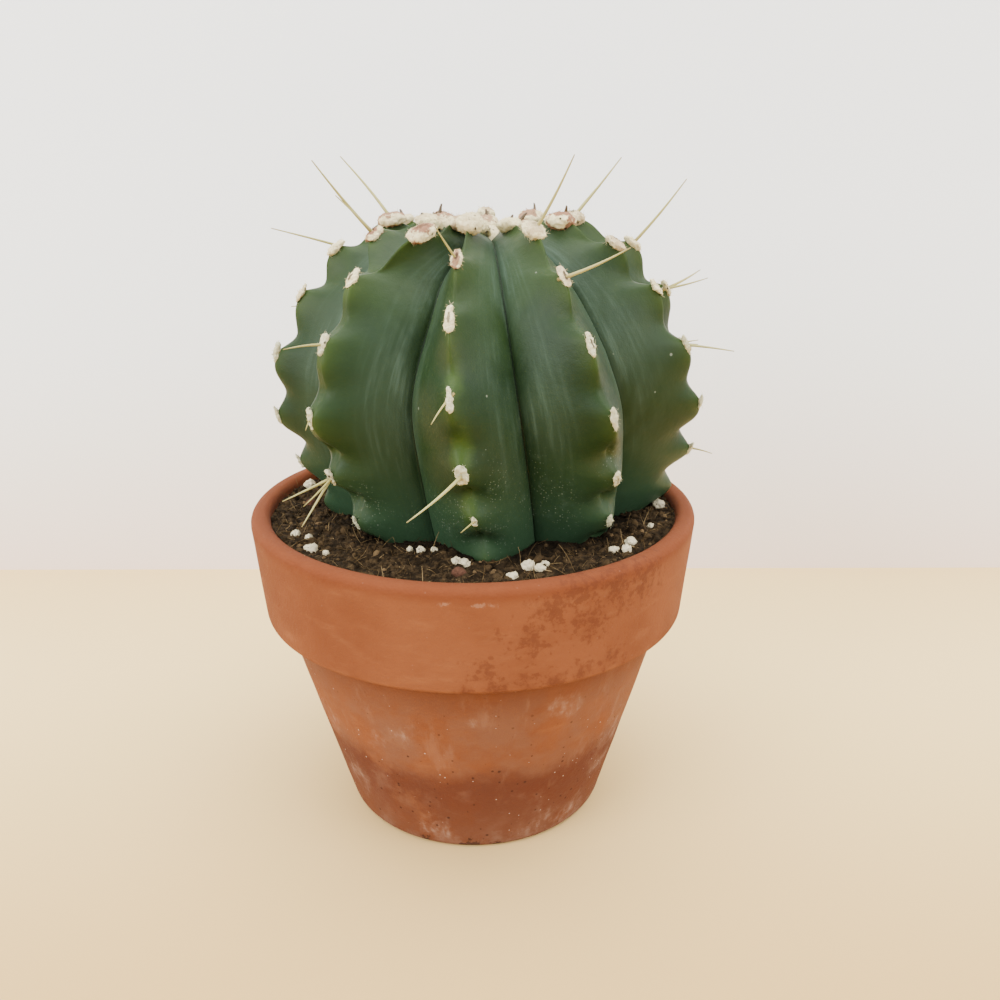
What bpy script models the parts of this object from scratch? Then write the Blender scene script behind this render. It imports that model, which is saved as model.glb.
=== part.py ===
# Potted barrel cactus: a clay pot, its potting soil and a ribbed, spiny stem.
# Metres, +Z up. The origin is the centre of the pot's foot, and -Y is the front.
# Azimuths are in degrees, 0 at the front and growing towards +X.

import math
import random

import bmesh
import bpy
from mathutils import Matrix, Vector, noise

MM = 0.001
GAP = 0.3 * MM          # air left between neighbouring solids
SHARP_ANGLE = 40.0      # degrees: edges that turn more than this show

# Clay pot
POT_HEIGHT = 115.5 * MM
LIP_RADIUS = 80.0 * MM
BAND_HEIGHT = 36.9 * MM         # the thick band round the top
BAND_FOOT_RADIUS = 76.5 * MM
BODY_TOP_RADIUS = 70.5 * MM
FOOT_RADIUS = 48.8 * MM
MOUTH_RADIUS = 73.1 * MM
WALL = 7.0 * MM
DRAIN_RADIUS = 9.0 * MM
BAND_FOOT = POT_HEIGHT - BAND_HEIGHT
SHOULDER_LOW = BAND_FOOT - 5.0 * MM     # the slope inside, behind the band's lower edge
SHOULDER_HIGH = BAND_FOOT + 5.0 * MM
LIP_ROUNDING = 2.8 * MM
BAND_FOOT_ROUNDING = 1.6 * MM
UNDER_BAND_ROUNDING = 1.2 * MM
FOOT_ROUNDING = 3.6 * MM
DRAIN_ROUNDING = 1.0 * MM
FLOOR_ROUNDING = 3.0 * MM
SHOULDER_ROUNDING = 4.0 * MM
POT_STEPS = 44

# Potting soil
SOIL_LEVEL = 111.8 * MM
SOIL_SWELL = 1.6 * MM           # how far the surface rises or falls at most
SOIL_WAVES = 42.0               # waves per metre, roughly
SOIL_STEPS = 48
SOIL_RINGS = (30, 44, 52, 59, 65)       # mm, rings of points on the surface
SOIL_INSET = 0.45 * MM          # from the pot's wall
SOIL_CHAMFER = 3.0 * MM         # round the foot of the soil
STEM_CLEARANCE = 0.5 * MM       # between the stem and its hole in the soil
HOLE_HEADROOM = 10.0 * MM       # the hole's cutter passes the surface by this
HOLE_STATIONS = (2.2, 2.5, 2.8, 3.12)   # the hole clears the stem at each of these

# Stem. Its crest and groove lines are (radius, height) stations, numbered from the
# buried bottom centre, 0, to the crown's centre, 12. The soil lies at station 3.
STEM_CENTRE = Vector((5.0, 6.0, 0.0)) * MM
CREST_LINE = (
    (0, 92), (24, 92.5), (46, 98), (56, 112), (64, 128), (72, 144.5), (75.5, 161),
    (71.5, 177), (62.5, 193), (49, 206), (32, 213), (15, 211), (0, 206),
)
GROOVE_LINE = (
    (0, 92), (20, 92.5), (36, 98), (43, 111), (47.5, 127), (51, 143), (52.5, 159),
    (49.5, 175), (42.5, 189), (32.5, 199.5), (21, 205.5), (10, 207), (0, 206),
)
SOIL_STATION = 3.0
MIDDLE_STATION = 6.2
TOP_STATION = 10.0
CROWN_STATION = 12.0

# Each rib's crest azimuth at the top, the middle and the soil
RIBS = {
    "A": (-84, -80, -83),
    "B": (-43, -45, -46),
    "C": (-9, -7.4, -0.6),
    "D": (23, 29, 44.5),
    "E": (58, 73, 90),
    "F": (94, 107, 124),
    "G": (137, 148, 160),
    "H": (181, 189, 198),
    "I": (229, 234, 237),
}
# How far the crest of a rib stands out from CREST_LINE, in mm, at its shoulder and near
# the soil. A rib that isn't named here keeps to the line.
RIB_SWELLS = {"A": (-2.4, 2.6), "B": (-1.0, 0.0), "E": (-3.0, 8.0), "H": (-1.5, 2.0), "I": (-2.0, 0.0)}
SHOULDER_SHARES = ((5.6, 0.0), (7.0, 1.0), (8.2, 0.7), (9.5, 0.0))      # (station, share)
SOIL_SHARES = ((3.6, 1.0), (5.6, 0.0))
# How far the upper part of the groove after a rib leans over to the next one, as a share
# of the way. The lean grows to that between the two stations.
GROOVE_LEANS = {"B": 0.14, "D": -0.03, "E": 0.04, "F": -0.05, "G": 0.06, "H": -0.04, "I": 0.05}
LEAN_STATIONS = (5.8, 8.2)
# How far a rib's areoles stand below AREOLE_STATIONS, in areoles, at the top and the bottom
AREOLE_STATIONS = (11.1, 10.1, 8.85, 7.75, 6.45, 5.05, 4.0, 2.9)
AREOLE_SHIFTS = {
    "A": (0.12, -0.22), "B": (0.45, 0.50), "C": (0.0, 0.0), "D": (0.36, 0.36), "E": (0.88, 0.45),
    "F": (-0.10, 0.20), "G": (0.55, 0.65), "H": (0.05, 0.15), "I": (0.40, 0.55),
}
LOWEST_AREOLE = 3.45            # those below this station are buried
TANGENT_STEP = 0.02             # stations to either side of a tangent

# Rib B forks near the crown into two crests
FORKED_RIB = "B"
FORK_SPREAD = (2.0, 34.0)       # degrees between the two crests, below and above
FORK_STATIONS = (8.4, 9.9)
FORK_AREOLES = (10.6, 9.4)      # the left branch's own areoles

# Cross-section between two crests. A power under 1 hollows the flanks, one over 1 fills them.
FLANK_POWERS = ((3.0, 0.95), (5.0, 0.8), (7.0, 0.7), (8.5, 0.55), (10.0, 0.5))     # (station, power)
CREST_ROUNDING = 0.06           # of the way from a crest to a groove
PINCH_SHARE = 0.12              # how much of the depth falls in the groove's pinch
PINCH_POWER = 10.0
NOTCH_DEPTHS = (                # (station, mm)
    (4.8, 6.5), (6.0, 4.4), (7.2, 4.0), (8.4, 4.8), (10.0, 2.6), (11.0, 1.0),
)
NOTCH_PLACE = 0.62              # of the way down to the next areole
NOTCH_FADE = 3.5                # higher keeps the notches nearer to the crests

COLUMNS_PER_RIB = 8
COLUMNS_IN_FORK = 4
STEM_ROWS = 42
ROW_POWER = 0.82                # under 1 leaves fewer rows below the soil

# Areoles and spines
PAD_LENGTH = 8.4 * MM
PAD_WIDTH = 3.9 * MM
PAD_RISE = 1.8 * MM
CROWN_PAD_GROWTH = ((8.5, 1.0), (10.0, 1.45), (11.0, 2.1))      # (station, share)
PAD_SEGMENTS = 6
PAD_RINGS = 4
WOOL_RADIUS = 16.0 * MM         # of the cushion of wool in the crown
WOOL_RISE = 7.0 * MM
WOOL_SEGMENTS = 14
WOOL_RINGS = 8
SPINE_RADIUS = 0.95 * MM
SPINE_TIP_RADIUS = 0.22 * MM
SPINE_SIDES = 4
SPINE_ROOT = 2.5 * MM           # length sunk in the areole

# Spines on the ribs in view: rib, areole, azimuth and rise of the spine in degrees,
# length in mm. Areole 0 is the one nearest the crown.
SPINES_IN_VIEW = (
    ("A", 1, -105, 49, 27),
    ("I", 2, -78, 16, 37),
    ("I", 4, -95, 3, 30),
    ("fork", 1, -60, 49, 29),
    ("fork", 1, -59, 44, 17),
    ("B", 3, -51, 1, 13),
    ("B", 4, -30, -50, 4),
    ("B", 5, -60, -17, 17),
    ("B", 5, -44, -31, 13),
    ("B", 5, -50, -50, 18),
    ("C", 2, -42, 48, 13),
    ("C", 4, -10, -55, 8),
    ("C", 5, -36, -16, 26),
    ("C", 6, -45, -20, 6),
    ("D", 1, 43, 54, 27),
    ("D", 2, 50, 23, 24),
    ("E", 3, 60, -2, 19),
    ("E", 5, 72, -8, 19),
    ("F", 1, 82, 51, 25),
    ("F", 1, 138, 35, 22),
    ("F", 2, 100, 49, 28),
)
SPINE_LIMITS = ((-82.5, -86.5, 117.5), (84.8, 87.0, 240.0))     # mm: no spine passes these

# Spines on the ribs that turn away from the front: length in mm and rise in degrees
# at each areole from the crown down. The youngest areoles there have none.
BACK_RIBS = ("F", "G", "H", "I")
BACK_SPINES = (None, None, (22, -4), (24, 4), (20, 8), (20, -6), (18, -16), (14, -22))
BACK_SPREAD = 48.0              # degrees to either side of the rib
BACK_TILT = 12.0                # degrees above or below the rise
BACK_SHARES = (0.75, 1.15)      # of the length
BACK_COUNTS = (1, 2, 2)         # drawn for each areole
BACK_SEED = 11

# Lumps in the soil, as azimuth in degrees, distance from the pot's axis and size in mm
PERLITE = (
    (-67, 65.7, 2.6), (-62, 62.4, 2.2), (-54, 65.2, 3.6), (-47, 64.3, 1.6), (-25, 47.0, 1.7),
    (-20, 47.5, 2.2), (-15, 46.0, 1.8), (-5, 52.0, 3.0), (-2, 53.5, 2.8), (12, 62.9, 3.2),
    (18, 58.4, 3.4), (21, 60.6, 2.6), (24, 57.5, 2.2), (49, 62.0, 2.6), (50, 65.8, 2.6),
    (56, 63.5, 3.2), (-118, 67.5, 2.4), (71, 65.0, 1.8), (97, 69.0, 1.8),
)
CLAY_PEBBLES = ((-3, 61.4, 3.4), (-95, 61.0, 2.6), (150, 66.0, 3.0))
BACK_LUMPS = 9
BACK_LUMP_AZIMUTHS = (85, 260)
BACK_LUMP_DISTANCES = (67, 69)
BACK_LUMP_SIZES = (1.8, 3.4)
LUMP_LENGTHS = (0.9, 1.3)       # of a lump's size
LUMP_WIDTHS = (0.8, 1.1)
LUMP_HEIGHT = 0.85
LUMP_RISE = 0.12                # of its size that a lump's middle stands above the ground
LUMP_SEED = 5

COLOURS = {
    "pot": ((0.49, 0.20, 0.095, 1.0), 0.85),
    "soil": ((0.045, 0.028, 0.018, 1.0), 0.95),
    "cactus": ((0.055, 0.13, 0.06, 1.0), 0.5),
}


# Small helpers

def smooth_step(value, low, high):
    share = min(max((value - low) / (high - low), 0.0), 1.0)
    return share * share * (3.0 - 2.0 * share)


def blend(low, high, share):
    return low + (high - low) * share


def between_points(table, value):
    # Straight lines through (place, value) points, level past both ends
    if value <= table[0][0]:
        return table[0][1]
    for (x0, y0), (x1, y1) in zip(table, table[1:]):
        if value <= x1:
            return blend(y0, y1, (value - x0) / (x1 - x0))
    return table[-1][1]


def direction(azimuth, rise):
    a, e = math.radians(azimuth), math.radians(rise)
    return Vector((math.sin(a) * math.cos(e), -math.cos(a) * math.cos(e), math.sin(e)))


def new_collection(name):
    collection = bpy.data.collections.new(name)
    bpy.context.scene.collection.children.link(collection)
    return collection


def new_object(name, mesh, collection):
    obj = bpy.data.objects.new(name, mesh)
    collection.objects.link(obj)
    return obj


def mesh_from(bm, name):
    mesh = bpy.data.meshes.new(name)
    bm.to_mesh(mesh)
    bm.free()
    return mesh


def colour(obj, slot):
    rgba, roughness = COLOURS[slot]
    material = bpy.data.materials.new(slot)
    material.use_nodes = True
    shader = material.node_tree.nodes["Principled BSDF"]
    shader.inputs["Base Color"].default_value = rgba
    shader.inputs["Roughness"].default_value = roughness
    shader.inputs["Metallic"].default_value = 0.0
    obj.data.materials.clear()
    obj.data.materials.append(material)


def shade(obj):
    # Smooth across gentle turns, sharp at edges
    obj.data.shade_smooth()
    obj.data.set_sharp_from_angle(angle=math.radians(SHARP_ANGLE))


def apply_modifiers(obj, name):
    # The evaluated mesh replaces the object's own, and its modifiers go
    graph = bpy.context.evaluated_depsgraph_get()
    mesh = bpy.data.meshes.new_from_object(obj.evaluated_get(graph))
    mesh.name = name
    obj.modifiers.clear()
    obj.data = mesh


def join_with(obj, collection):
    # One union with everything in the collection, which is then emptied
    union = obj.modifiers.new("union", "BOOLEAN")
    union.operation = "UNION"
    union.operand_type = "COLLECTION"
    union.collection = collection
    union.solver = "EXACT"
    apply_modifiers(obj, obj.name)
    for piece in list(collection.objects):
        bpy.data.objects.remove(piece)
    bpy.data.collections.remove(collection)


# Turned shapes

def rounded(corners, points_per_arc=3):
    # Corners are (radius, height, rounding); each becomes a short arc
    outline = []
    count = len(corners)
    for i, (x, z, size) in enumerate(corners):
        corner = Vector((x, z))
        before = (Vector(corners[i - 1][:2]) - corner).normalized()
        after = (Vector(corners[(i + 1) % count][:2]) - corner).normalized()
        half = before.angle(after) / 2
        reach = size / math.tan(half)
        centre = corner + (before + after).normalized() * size / math.sin(half)
        start = corner + before * reach - centre
        turn = (corner + after * reach - centre).angle_signed(start)
        for k in range(points_per_arc):
            angle = turn * k / (points_per_arc - 1)
            outline.append(centre + Matrix.Rotation(angle, 2) @ start)
    return outline


def turned(name, outline, steps, collection):
    # An outline that starts on the axis stays open, and any other is closed
    bm = bmesh.new()
    verts = [bm.verts.new((p.x, 0, p.y)) for p in outline]
    ends = verts[1:] if outline[0].x == 0 else verts[1:] + verts[:1]
    for a, b in zip(verts, ends):
        bm.edges.new((a, b))
    obj = new_object(name, mesh_from(bm, name), collection)
    screw = obj.modifiers.new("turn", "SCREW")
    screw.axis = "Z"
    screw.steps = steps
    screw.render_steps = steps
    screw.use_merge_vertices = True
    screw.merge_threshold = 0.00001
    return obj


# Pot

def inner_wall(height):
    # Radius of the pot's inside at a height
    return between_points((
        (WALL, FOOT_RADIUS - WALL),
        (SHOULDER_LOW, BODY_TOP_RADIUS - WALL),
        (SHOULDER_HIGH, BAND_FOOT_RADIUS - WALL),
        (POT_HEIGHT, MOUTH_RADIUS),
    ), height)


def make_pot(collection):
    # The outline runs down the outside, across the foot and up the inside
    outline = rounded((
        (LIP_RADIUS, POT_HEIGHT, LIP_ROUNDING),
        (BAND_FOOT_RADIUS, BAND_FOOT, BAND_FOOT_ROUNDING),
        (BODY_TOP_RADIUS, BAND_FOOT, UNDER_BAND_ROUNDING),
        (FOOT_RADIUS, 0, FOOT_ROUNDING),
        (DRAIN_RADIUS, 0, DRAIN_ROUNDING),
        (DRAIN_RADIUS, WALL, DRAIN_ROUNDING),
        (inner_wall(WALL), WALL, FLOOR_ROUNDING),
        (inner_wall(SHOULDER_LOW), SHOULDER_LOW, SHOULDER_ROUNDING),
        (inner_wall(SHOULDER_HIGH), SHOULDER_HIGH, SHOULDER_ROUNDING),
        (MOUTH_RADIUS, POT_HEIGHT, LIP_ROUNDING),
    ))
    pot = turned("pot", outline, POT_STEPS, collection)
    apply_modifiers(pot, "pot")
    colour(pot, "pot")
    shade(pot)


# Stem

def along(line, station):
    # Smooth curve through the stations of a crest or groove line
    def point(k):
        if k < 0:
            return Vector((-line[1][0], line[1][1]))
        if k >= len(line):
            return Vector((-line[-2][0], line[-2][1]))
        return Vector(line[k])

    k = min(int(station), len(line) - 2)
    f = station - k
    a, b, c, d = point(k - 1), point(k), point(k + 1), point(k + 2)
    return 0.5 * (2 * b + (c - a) * f + (2 * a - 5 * b + 4 * c - d) * f ** 2
                  + (3 * b - a - 3 * c + d) * f ** 3)


def outward(station):
    # Unit normal of the crest line
    ahead = along(CREST_LINE, min(station + TANGENT_STEP, CROWN_STATION))
    run = ahead - along(CREST_LINE, max(station - TANGENT_STEP, 0.0))
    return Vector((run.y, -run.x)).normalized()


def rib_azimuth(rib, station):
    # Parabola through the rib's azimuths at the soil, the middle and the top
    top, middle, soil = RIBS[rib]
    s = min(max(station, SOIL_STATION), TOP_STATION)
    first = (middle - soil) / (MIDDLE_STATION - SOIL_STATION)
    second = (top - middle) / (TOP_STATION - MIDDLE_STATION)
    bend = (second - first) / (TOP_STATION - SOIL_STATION)
    return soil + first * (s - SOIL_STATION) + bend * (s - SOIL_STATION) * (s - MIDDLE_STATION)


def fork_share(station):
    return smooth_step(station, *FORK_STATIONS)


def crest_azimuth(crest, station):
    # Crests are the ribs, with the forked rib's left branch as one more
    if crest in ("fork", FORKED_RIB):
        half = blend(*FORK_SPREAD, fork_share(station)) / 2
        return rib_azimuth(FORKED_RIB, station) + (-half if crest == "fork" else half)
    return rib_azimuth(crest, station)


def crest_order():
    order = list(RIBS)
    order.insert(order.index(FORKED_RIB), "fork")
    return order


def areole_stations(crest):
    rib = FORKED_RIB if crest == "fork" else crest
    shift_top, shift_bottom = AREOLE_SHIFTS[rib]
    last = len(AREOLE_STATIONS) - 1
    stations = []
    for k in range(last + 1):
        place = k + blend(shift_top, shift_bottom, k / last)
        i = min(max(int(place), 0), last - 1)
        stations.append(blend(AREOLE_STATIONS[i], AREOLE_STATIONS[i + 1], place - i))
    if crest == "fork":
        stations = list(FORK_AREOLES) + [s for s in stations if s < FORK_STATIONS[0]]
    return stations


def swell(crest, station):
    # How far the crest stands out from the crest line, in mm
    shoulder, soil = RIB_SWELLS.get(FORKED_RIB if crest == "fork" else crest, (0.0, 0.0))
    return (shoulder * between_points(SHOULDER_SHARES, station)
            + soil * between_points(SOIL_SHARES, station))


def notch(crest, station):
    # Depth of the dent between two areoles, deepest just above the lower one
    stations = areole_stations(crest)
    for above, below in zip(stations, stations[1:]):
        if below <= station <= above:
            f = (above - station) / (above - below)
            f = f ** (math.log(0.5) / math.log(NOTCH_PLACE))
            depth = between_points(NOTCH_DEPTHS, station)
            return depth * (0.5 - 0.5 * math.cos(2 * math.pi * f))
    return 0.0


def skin(crest, next_crest, phase, station):
    # A point of the skin: phase 0 on one crest, 1 on the next
    left = crest_azimuth(crest, station)
    right = crest_azimuth(next_crest, station)
    if right < left:
        right += 360
    lean = GROOVE_LEANS.get(crest, 0.0) * smooth_step(station, *LEAN_STATIONS)
    azimuth = blend(left, right, phase + lean * math.sin(math.pi * phase) ** 2)
    side = 1 - abs(2 * phase - 1)
    if crest == "fork":
        side *= fork_share(station)
    flank = math.hypot(side, CREST_ROUNDING) - CREST_ROUNDING
    flank /= math.hypot(1, CREST_ROUNDING) - CREST_ROUNDING
    flank **= between_points(FLANK_POWERS, station)
    drop = (1 - PINCH_SHARE) * flank + PINCH_SHARE * side ** PINCH_POWER
    near = crest if phase < 0.5 else next_crest
    point = along(CREST_LINE, station).lerp(along(GROOVE_LINE, station), drop)
    point.x += swell(near, station) * (1 - drop)
    point -= outward(station) * notch(near, station) * (1 - side) ** NOTCH_FADE
    radius = max(point.x, 0.0) * MM
    place = direction(azimuth, 0) * radius
    place.z = point.y * MM
    return place + STEM_CENTRE


def columns():
    # (crest, next crest, phase) of each column of the stem's grid
    order = crest_order()
    grid = []
    for crest, next_crest in zip(order, order[1:] + order[:1]):
        count = COLUMNS_IN_FORK if crest == "fork" else COLUMNS_PER_RIB
        grid += [(crest, next_crest, k / count) for k in range(count)]
    return grid


def column_at(spot, grid):
    # The column nearest to a point's azimuth on a primitive with as many segments
    turn = math.atan2(spot.x, -spot.y) / (2 * math.pi)
    return grid[round(turn * len(grid)) % len(grid)]


def row_station(row):
    # Fewer rows below the soil than above it
    return (row / STEM_ROWS) ** ROW_POWER * CROWN_STATION


def make_stem(collection):
    grid = columns()
    bm = bmesh.new()
    bmesh.ops.create_uvsphere(bm, u_segments=len(grid), v_segments=STEM_ROWS, radius=1)
    for vert in bm.verts:
        polar = math.atan2(vert.co.xy.length, vert.co.z)
        row = round((1 - polar / math.pi) * STEM_ROWS)
        vert.co = skin(*column_at(vert.co, grid), row_station(row))
    return new_object("cactus", mesh_from(bm, "cactus"), collection)


# Areoles, wool and spines

def areole_frame(crest, number):
    # Place, outward normal and upward tangent of an areole
    station = areole_stations(crest)[number]
    order = crest_order()
    next_crest = order[(order.index(crest) + 1) % len(order)]
    merged = crest == FORKED_RIB and station < FORK_STATIONS[0]
    if merged:
        crest, next_crest, phase = "fork", FORKED_RIB, 0.5
    else:
        phase = 0.0
    place = skin(crest, next_crest, phase, station)
    up = skin(crest, next_crest, phase, station + TANGENT_STEP) - place
    azimuth = blend(crest_azimuth(crest, station), crest_azimuth(next_crest, station), phase)
    flat = outward(station)
    normal = direction(azimuth, 0) * flat.x + Vector((0, 0, flat.y))
    up = (up - normal * up.dot(normal)).normalized()
    return place, normal, up, station


def areoles():
    # (crest, number) of every areole above the soil
    found = []
    for crest in crest_order():
        for number, station in enumerate(areole_stations(crest)):
            own = crest != "fork" or number < len(FORK_AREOLES)
            if own and station > LOWEST_AREOLE:
                found.append((crest, number))
    return found


def add_pad(crest, number, collection):
    place, normal, up, station = areole_frame(crest, number)
    growth = between_points(CROWN_PAD_GROWTH, station)
    side = up.cross(normal)
    turn = Matrix((side, up, normal)).transposed().to_4x4()
    size = Matrix.Diagonal((PAD_WIDTH * growth / 2, PAD_LENGTH / 2, PAD_RISE * growth, 1))
    bm = bmesh.new()
    bmesh.ops.create_uvsphere(bm, u_segments=PAD_SEGMENTS, v_segments=PAD_RINGS, radius=1)
    bmesh.ops.transform(bm, verts=bm.verts, matrix=Matrix.Translation(place) @ turn @ size)
    new_object("pad", mesh_from(bm, "pad"), collection)


def room(root, way):
    # How far a spine can run before it passes a limit
    distances = []
    for start, step, low, high in zip(root, way, *SPINE_LIMITS):
        limit = low if step < 0 else high
        distances.append((limit * MM - start) / step)
    return min(distances)


def add_spine(root, way, length, collection):
    length = min(length, room(root, way))
    total = length + SPINE_ROOT
    bm = bmesh.new()
    bmesh.ops.create_cone(
        bm, cap_ends=True, segments=SPINE_SIDES, depth=total,
        radius1=SPINE_RADIUS, radius2=SPINE_TIP_RADIUS)
    turn = way.to_track_quat("Z", "Y").to_matrix().to_4x4()
    place = Matrix.Translation(root + way * (total / 2 - SPINE_ROOT))
    bmesh.ops.transform(bm, verts=bm.verts, matrix=place @ turn)
    new_object("spine", mesh_from(bm, "spine"), collection)


def back_spines():
    # (place, direction, length) for the ribs that turn away from the front
    draw = random.Random(BACK_SEED)
    seen = {(crest, number) for crest, number, *_ in SPINES_IN_VIEW}
    spines = []
    for crest, number in areoles():
        if crest not in BACK_RIBS or (crest, number) in seen or not BACK_SPINES[number]:
            continue
        length, rise = BACK_SPINES[number]
        place, _, _, station = areole_frame(crest, number)
        for _ in range(draw.choice(BACK_COUNTS)):
            azimuth = crest_azimuth(crest, station) + draw.uniform(-BACK_SPREAD, BACK_SPREAD)
            way = direction(azimuth, rise + draw.uniform(-BACK_TILT, BACK_TILT))
            spines.append((place, way, length * draw.uniform(*BACK_SHARES) * MM))
    return spines


def add_crown_wool(collection):
    bm = bmesh.new()
    bmesh.ops.create_uvsphere(bm, u_segments=WOOL_SEGMENTS, v_segments=WOOL_RINGS, radius=1)
    centre = along(CREST_LINE, CROWN_STATION)
    size = Matrix.Diagonal((WOOL_RADIUS, WOOL_RADIUS, WOOL_RISE, 1))
    place = Matrix.Translation(STEM_CENTRE + Vector((0, 0, centre.y * MM)))
    bmesh.ops.transform(bm, verts=bm.verts, matrix=place @ size)
    new_object("crown_wool", mesh_from(bm, "crown_wool"), collection)


def make_cactus(collection):
    cactus = make_stem(collection)
    growths = new_collection("growths")
    add_crown_wool(growths)
    for crest, number in areoles():
        add_pad(crest, number, growths)
    for crest, number, azimuth, rise, length in SPINES_IN_VIEW:
        place = areole_frame(crest, number)[0]
        add_spine(place, direction(azimuth, rise), length * MM, growths)
    for place, way, length in back_spines():
        add_spine(place, way, length, growths)
    join_with(cactus, growths)
    colour(cactus, "cactus")
    shade(cactus)


# Soil

def ground(place):
    # Height of the soil's uneven surface
    flat = Vector((place.x, place.y, 0))
    return SOIL_LEVEL + SOIL_SWELL * noise.noise(flat * SOIL_WAVES)


def add_lump(azimuth, distance, size, draw, collection):
    bm = bmesh.new()
    bmesh.ops.create_icosphere(bm, subdivisions=1, radius=size / 2)
    length, width = draw.uniform(*LUMP_LENGTHS), draw.uniform(*LUMP_WIDTHS)
    shape = Matrix.Diagonal((length, width, LUMP_HEIGHT, 1))
    turn = Matrix.Rotation(draw.uniform(0, math.pi), 4, "Z")
    place = direction(azimuth, 0) * distance
    place.z = ground(place) + size * LUMP_RISE
    bmesh.ops.transform(bm, verts=bm.verts, matrix=Matrix.Translation(place) @ turn @ shape)
    new_object("lump", mesh_from(bm, "lump"), collection)


def stem_hole(cutters):
    # The stem's ribbed outline at the soil, as a straight plug to cut with
    grid = columns()
    top = SOIL_LEVEL + HOLE_HEADROOM
    bottom = CREST_LINE[0][1] * MM - STEM_CLEARANCE
    bm = bmesh.new()
    bmesh.ops.create_cone(
        bm, cap_ends=True, segments=len(grid), radius1=1, radius2=1, depth=1)
    for vert in bm.verts:
        column = column_at(vert.co, grid)
        outlines = [skin(*column, station) - STEM_CENTRE for station in HOLE_STATIONS]
        widest = max((spot.xy for spot in outlines), key=lambda spot: spot.length)
        edge = widest + widest.normalized() * STEM_CLEARANCE + STEM_CENTRE.xy
        vert.co = (*edge, top if vert.co.z > 0 else bottom)
    plug = new_object("stem_hole", mesh_from(bm, "stem_hole"), cutters)
    plug.display_type = "WIRE"
    plug.hide_render = True
    return plug


def make_soil(collection, cutters):
    # The outline runs from the middle of the surface to the wall and down inside the pot
    floor = WALL + GAP
    corner = inner_wall(WALL)
    wall_heights = (SOIL_LEVEL, SHOULDER_HIGH - MM, SHOULDER_LOW - MM)
    rings = [(radius * MM, SOIL_LEVEL) for radius in SOIL_RINGS]
    side = [(inner_wall(z) - SOIL_INSET, z) for z in wall_heights]
    foot = [(corner - 2 * SOIL_INSET, floor + SOIL_CHAMFER), (corner - SOIL_CHAMFER, floor)]
    outline = [Vector(p) for p in [(0, SOIL_LEVEL), *rings, *side, *foot, (0, floor)]]
    soil = turned("soil", outline, SOIL_STEPS, collection)
    apply_modifiers(soil, "soil")
    for vert in soil.data.vertices:
        inside = vert.co.xy.length < SOIL_RINGS[-1] * MM + GAP
        if inside and vert.co.z > SOIL_LEVEL - GAP:
            vert.co.z = ground(vert.co)
    soil.data.update()

    draw = random.Random(LUMP_SEED)
    lumps = new_collection("lumps")
    for azimuth, distance, size in PERLITE + CLAY_PEBBLES:
        add_lump(azimuth, distance * MM, size * MM, draw, lumps)
    for _ in range(BACK_LUMPS):
        azimuth = draw.uniform(*BACK_LUMP_AZIMUTHS)
        distance = draw.uniform(*BACK_LUMP_DISTANCES)
        size = draw.uniform(*BACK_LUMP_SIZES)
        add_lump(azimuth, distance * MM, size * MM, draw, lumps)
    join_with(soil, lumps)

    cut = soil.modifiers.new("stem_hole", "BOOLEAN")
    cut.operation = "DIFFERENCE"
    cut.solver = "EXACT"
    cut.object = stem_hole(cutters)
    colour(soil, "soil")
    shade(soil)


def main():
    for obj in list(bpy.data.objects):
        bpy.data.objects.remove(obj)
    parts = new_collection("potted_barrel_cactus")
    cutters = new_collection("cutters")
    make_pot(parts)
    make_soil(parts, cutters)
    make_cactus(parts)


main()
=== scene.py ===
import math
import random

import bmesh
import bpy
from mathutils import Matrix, Vector, noise


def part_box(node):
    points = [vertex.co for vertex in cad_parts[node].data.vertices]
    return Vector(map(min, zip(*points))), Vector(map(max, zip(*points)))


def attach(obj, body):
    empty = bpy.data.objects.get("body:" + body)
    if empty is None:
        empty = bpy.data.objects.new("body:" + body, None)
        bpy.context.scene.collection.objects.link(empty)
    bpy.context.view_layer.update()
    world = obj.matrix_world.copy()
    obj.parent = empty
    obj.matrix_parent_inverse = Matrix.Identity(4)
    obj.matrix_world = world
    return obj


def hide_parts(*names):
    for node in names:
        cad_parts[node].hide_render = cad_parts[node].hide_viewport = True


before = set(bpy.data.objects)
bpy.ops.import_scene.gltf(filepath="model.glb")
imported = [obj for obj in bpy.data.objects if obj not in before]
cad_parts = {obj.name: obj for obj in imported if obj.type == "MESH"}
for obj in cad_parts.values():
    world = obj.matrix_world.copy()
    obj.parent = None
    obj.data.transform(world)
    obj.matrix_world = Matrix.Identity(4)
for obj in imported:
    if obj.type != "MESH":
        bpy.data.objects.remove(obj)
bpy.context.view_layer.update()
print("frame loaded:", ", ".join(sorted(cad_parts)))

mm = 0.001


# Wiring: nodes are added to the tree on the bench, and their outputs take plain arithmetic

bench = {}
socketKinds = {int: "Int", float: "Float", tuple: "Vector"}
arithmetic = ("ADD", "SUBTRACT", "MULTIPLY", "DIVIDE")


def sign(operation, swapped=False):
    return lambda a, b: calc(operation, *((b, a) if swapped else (a, b)))


def axisOf(axis):
    return property(lambda self: put("ShaderNodeSeparateXYZ", {"Vector": self}, axis))


class Wire:
    # A node's output; each sign, and each of x, y and z, adds a node
    def __init__(self, socket):
        self.socket = socket

    def __neg__(self):
        return self * -1.0

    x, y, z = (axisOf(axis) for axis in "XYZ")
    __add__, __sub__, __mul__, __truediv__ = (sign(name) for name in arithmetic)
    __radd__, __rsub__, __rmul__, __rtruediv__ = (sign(name, True) for name in arithmetic)
    __pow__, __gt__, __lt__ = (sign(name) for name in ("POWER", "GREATER_THAN", "LESS_THAN"))


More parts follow.
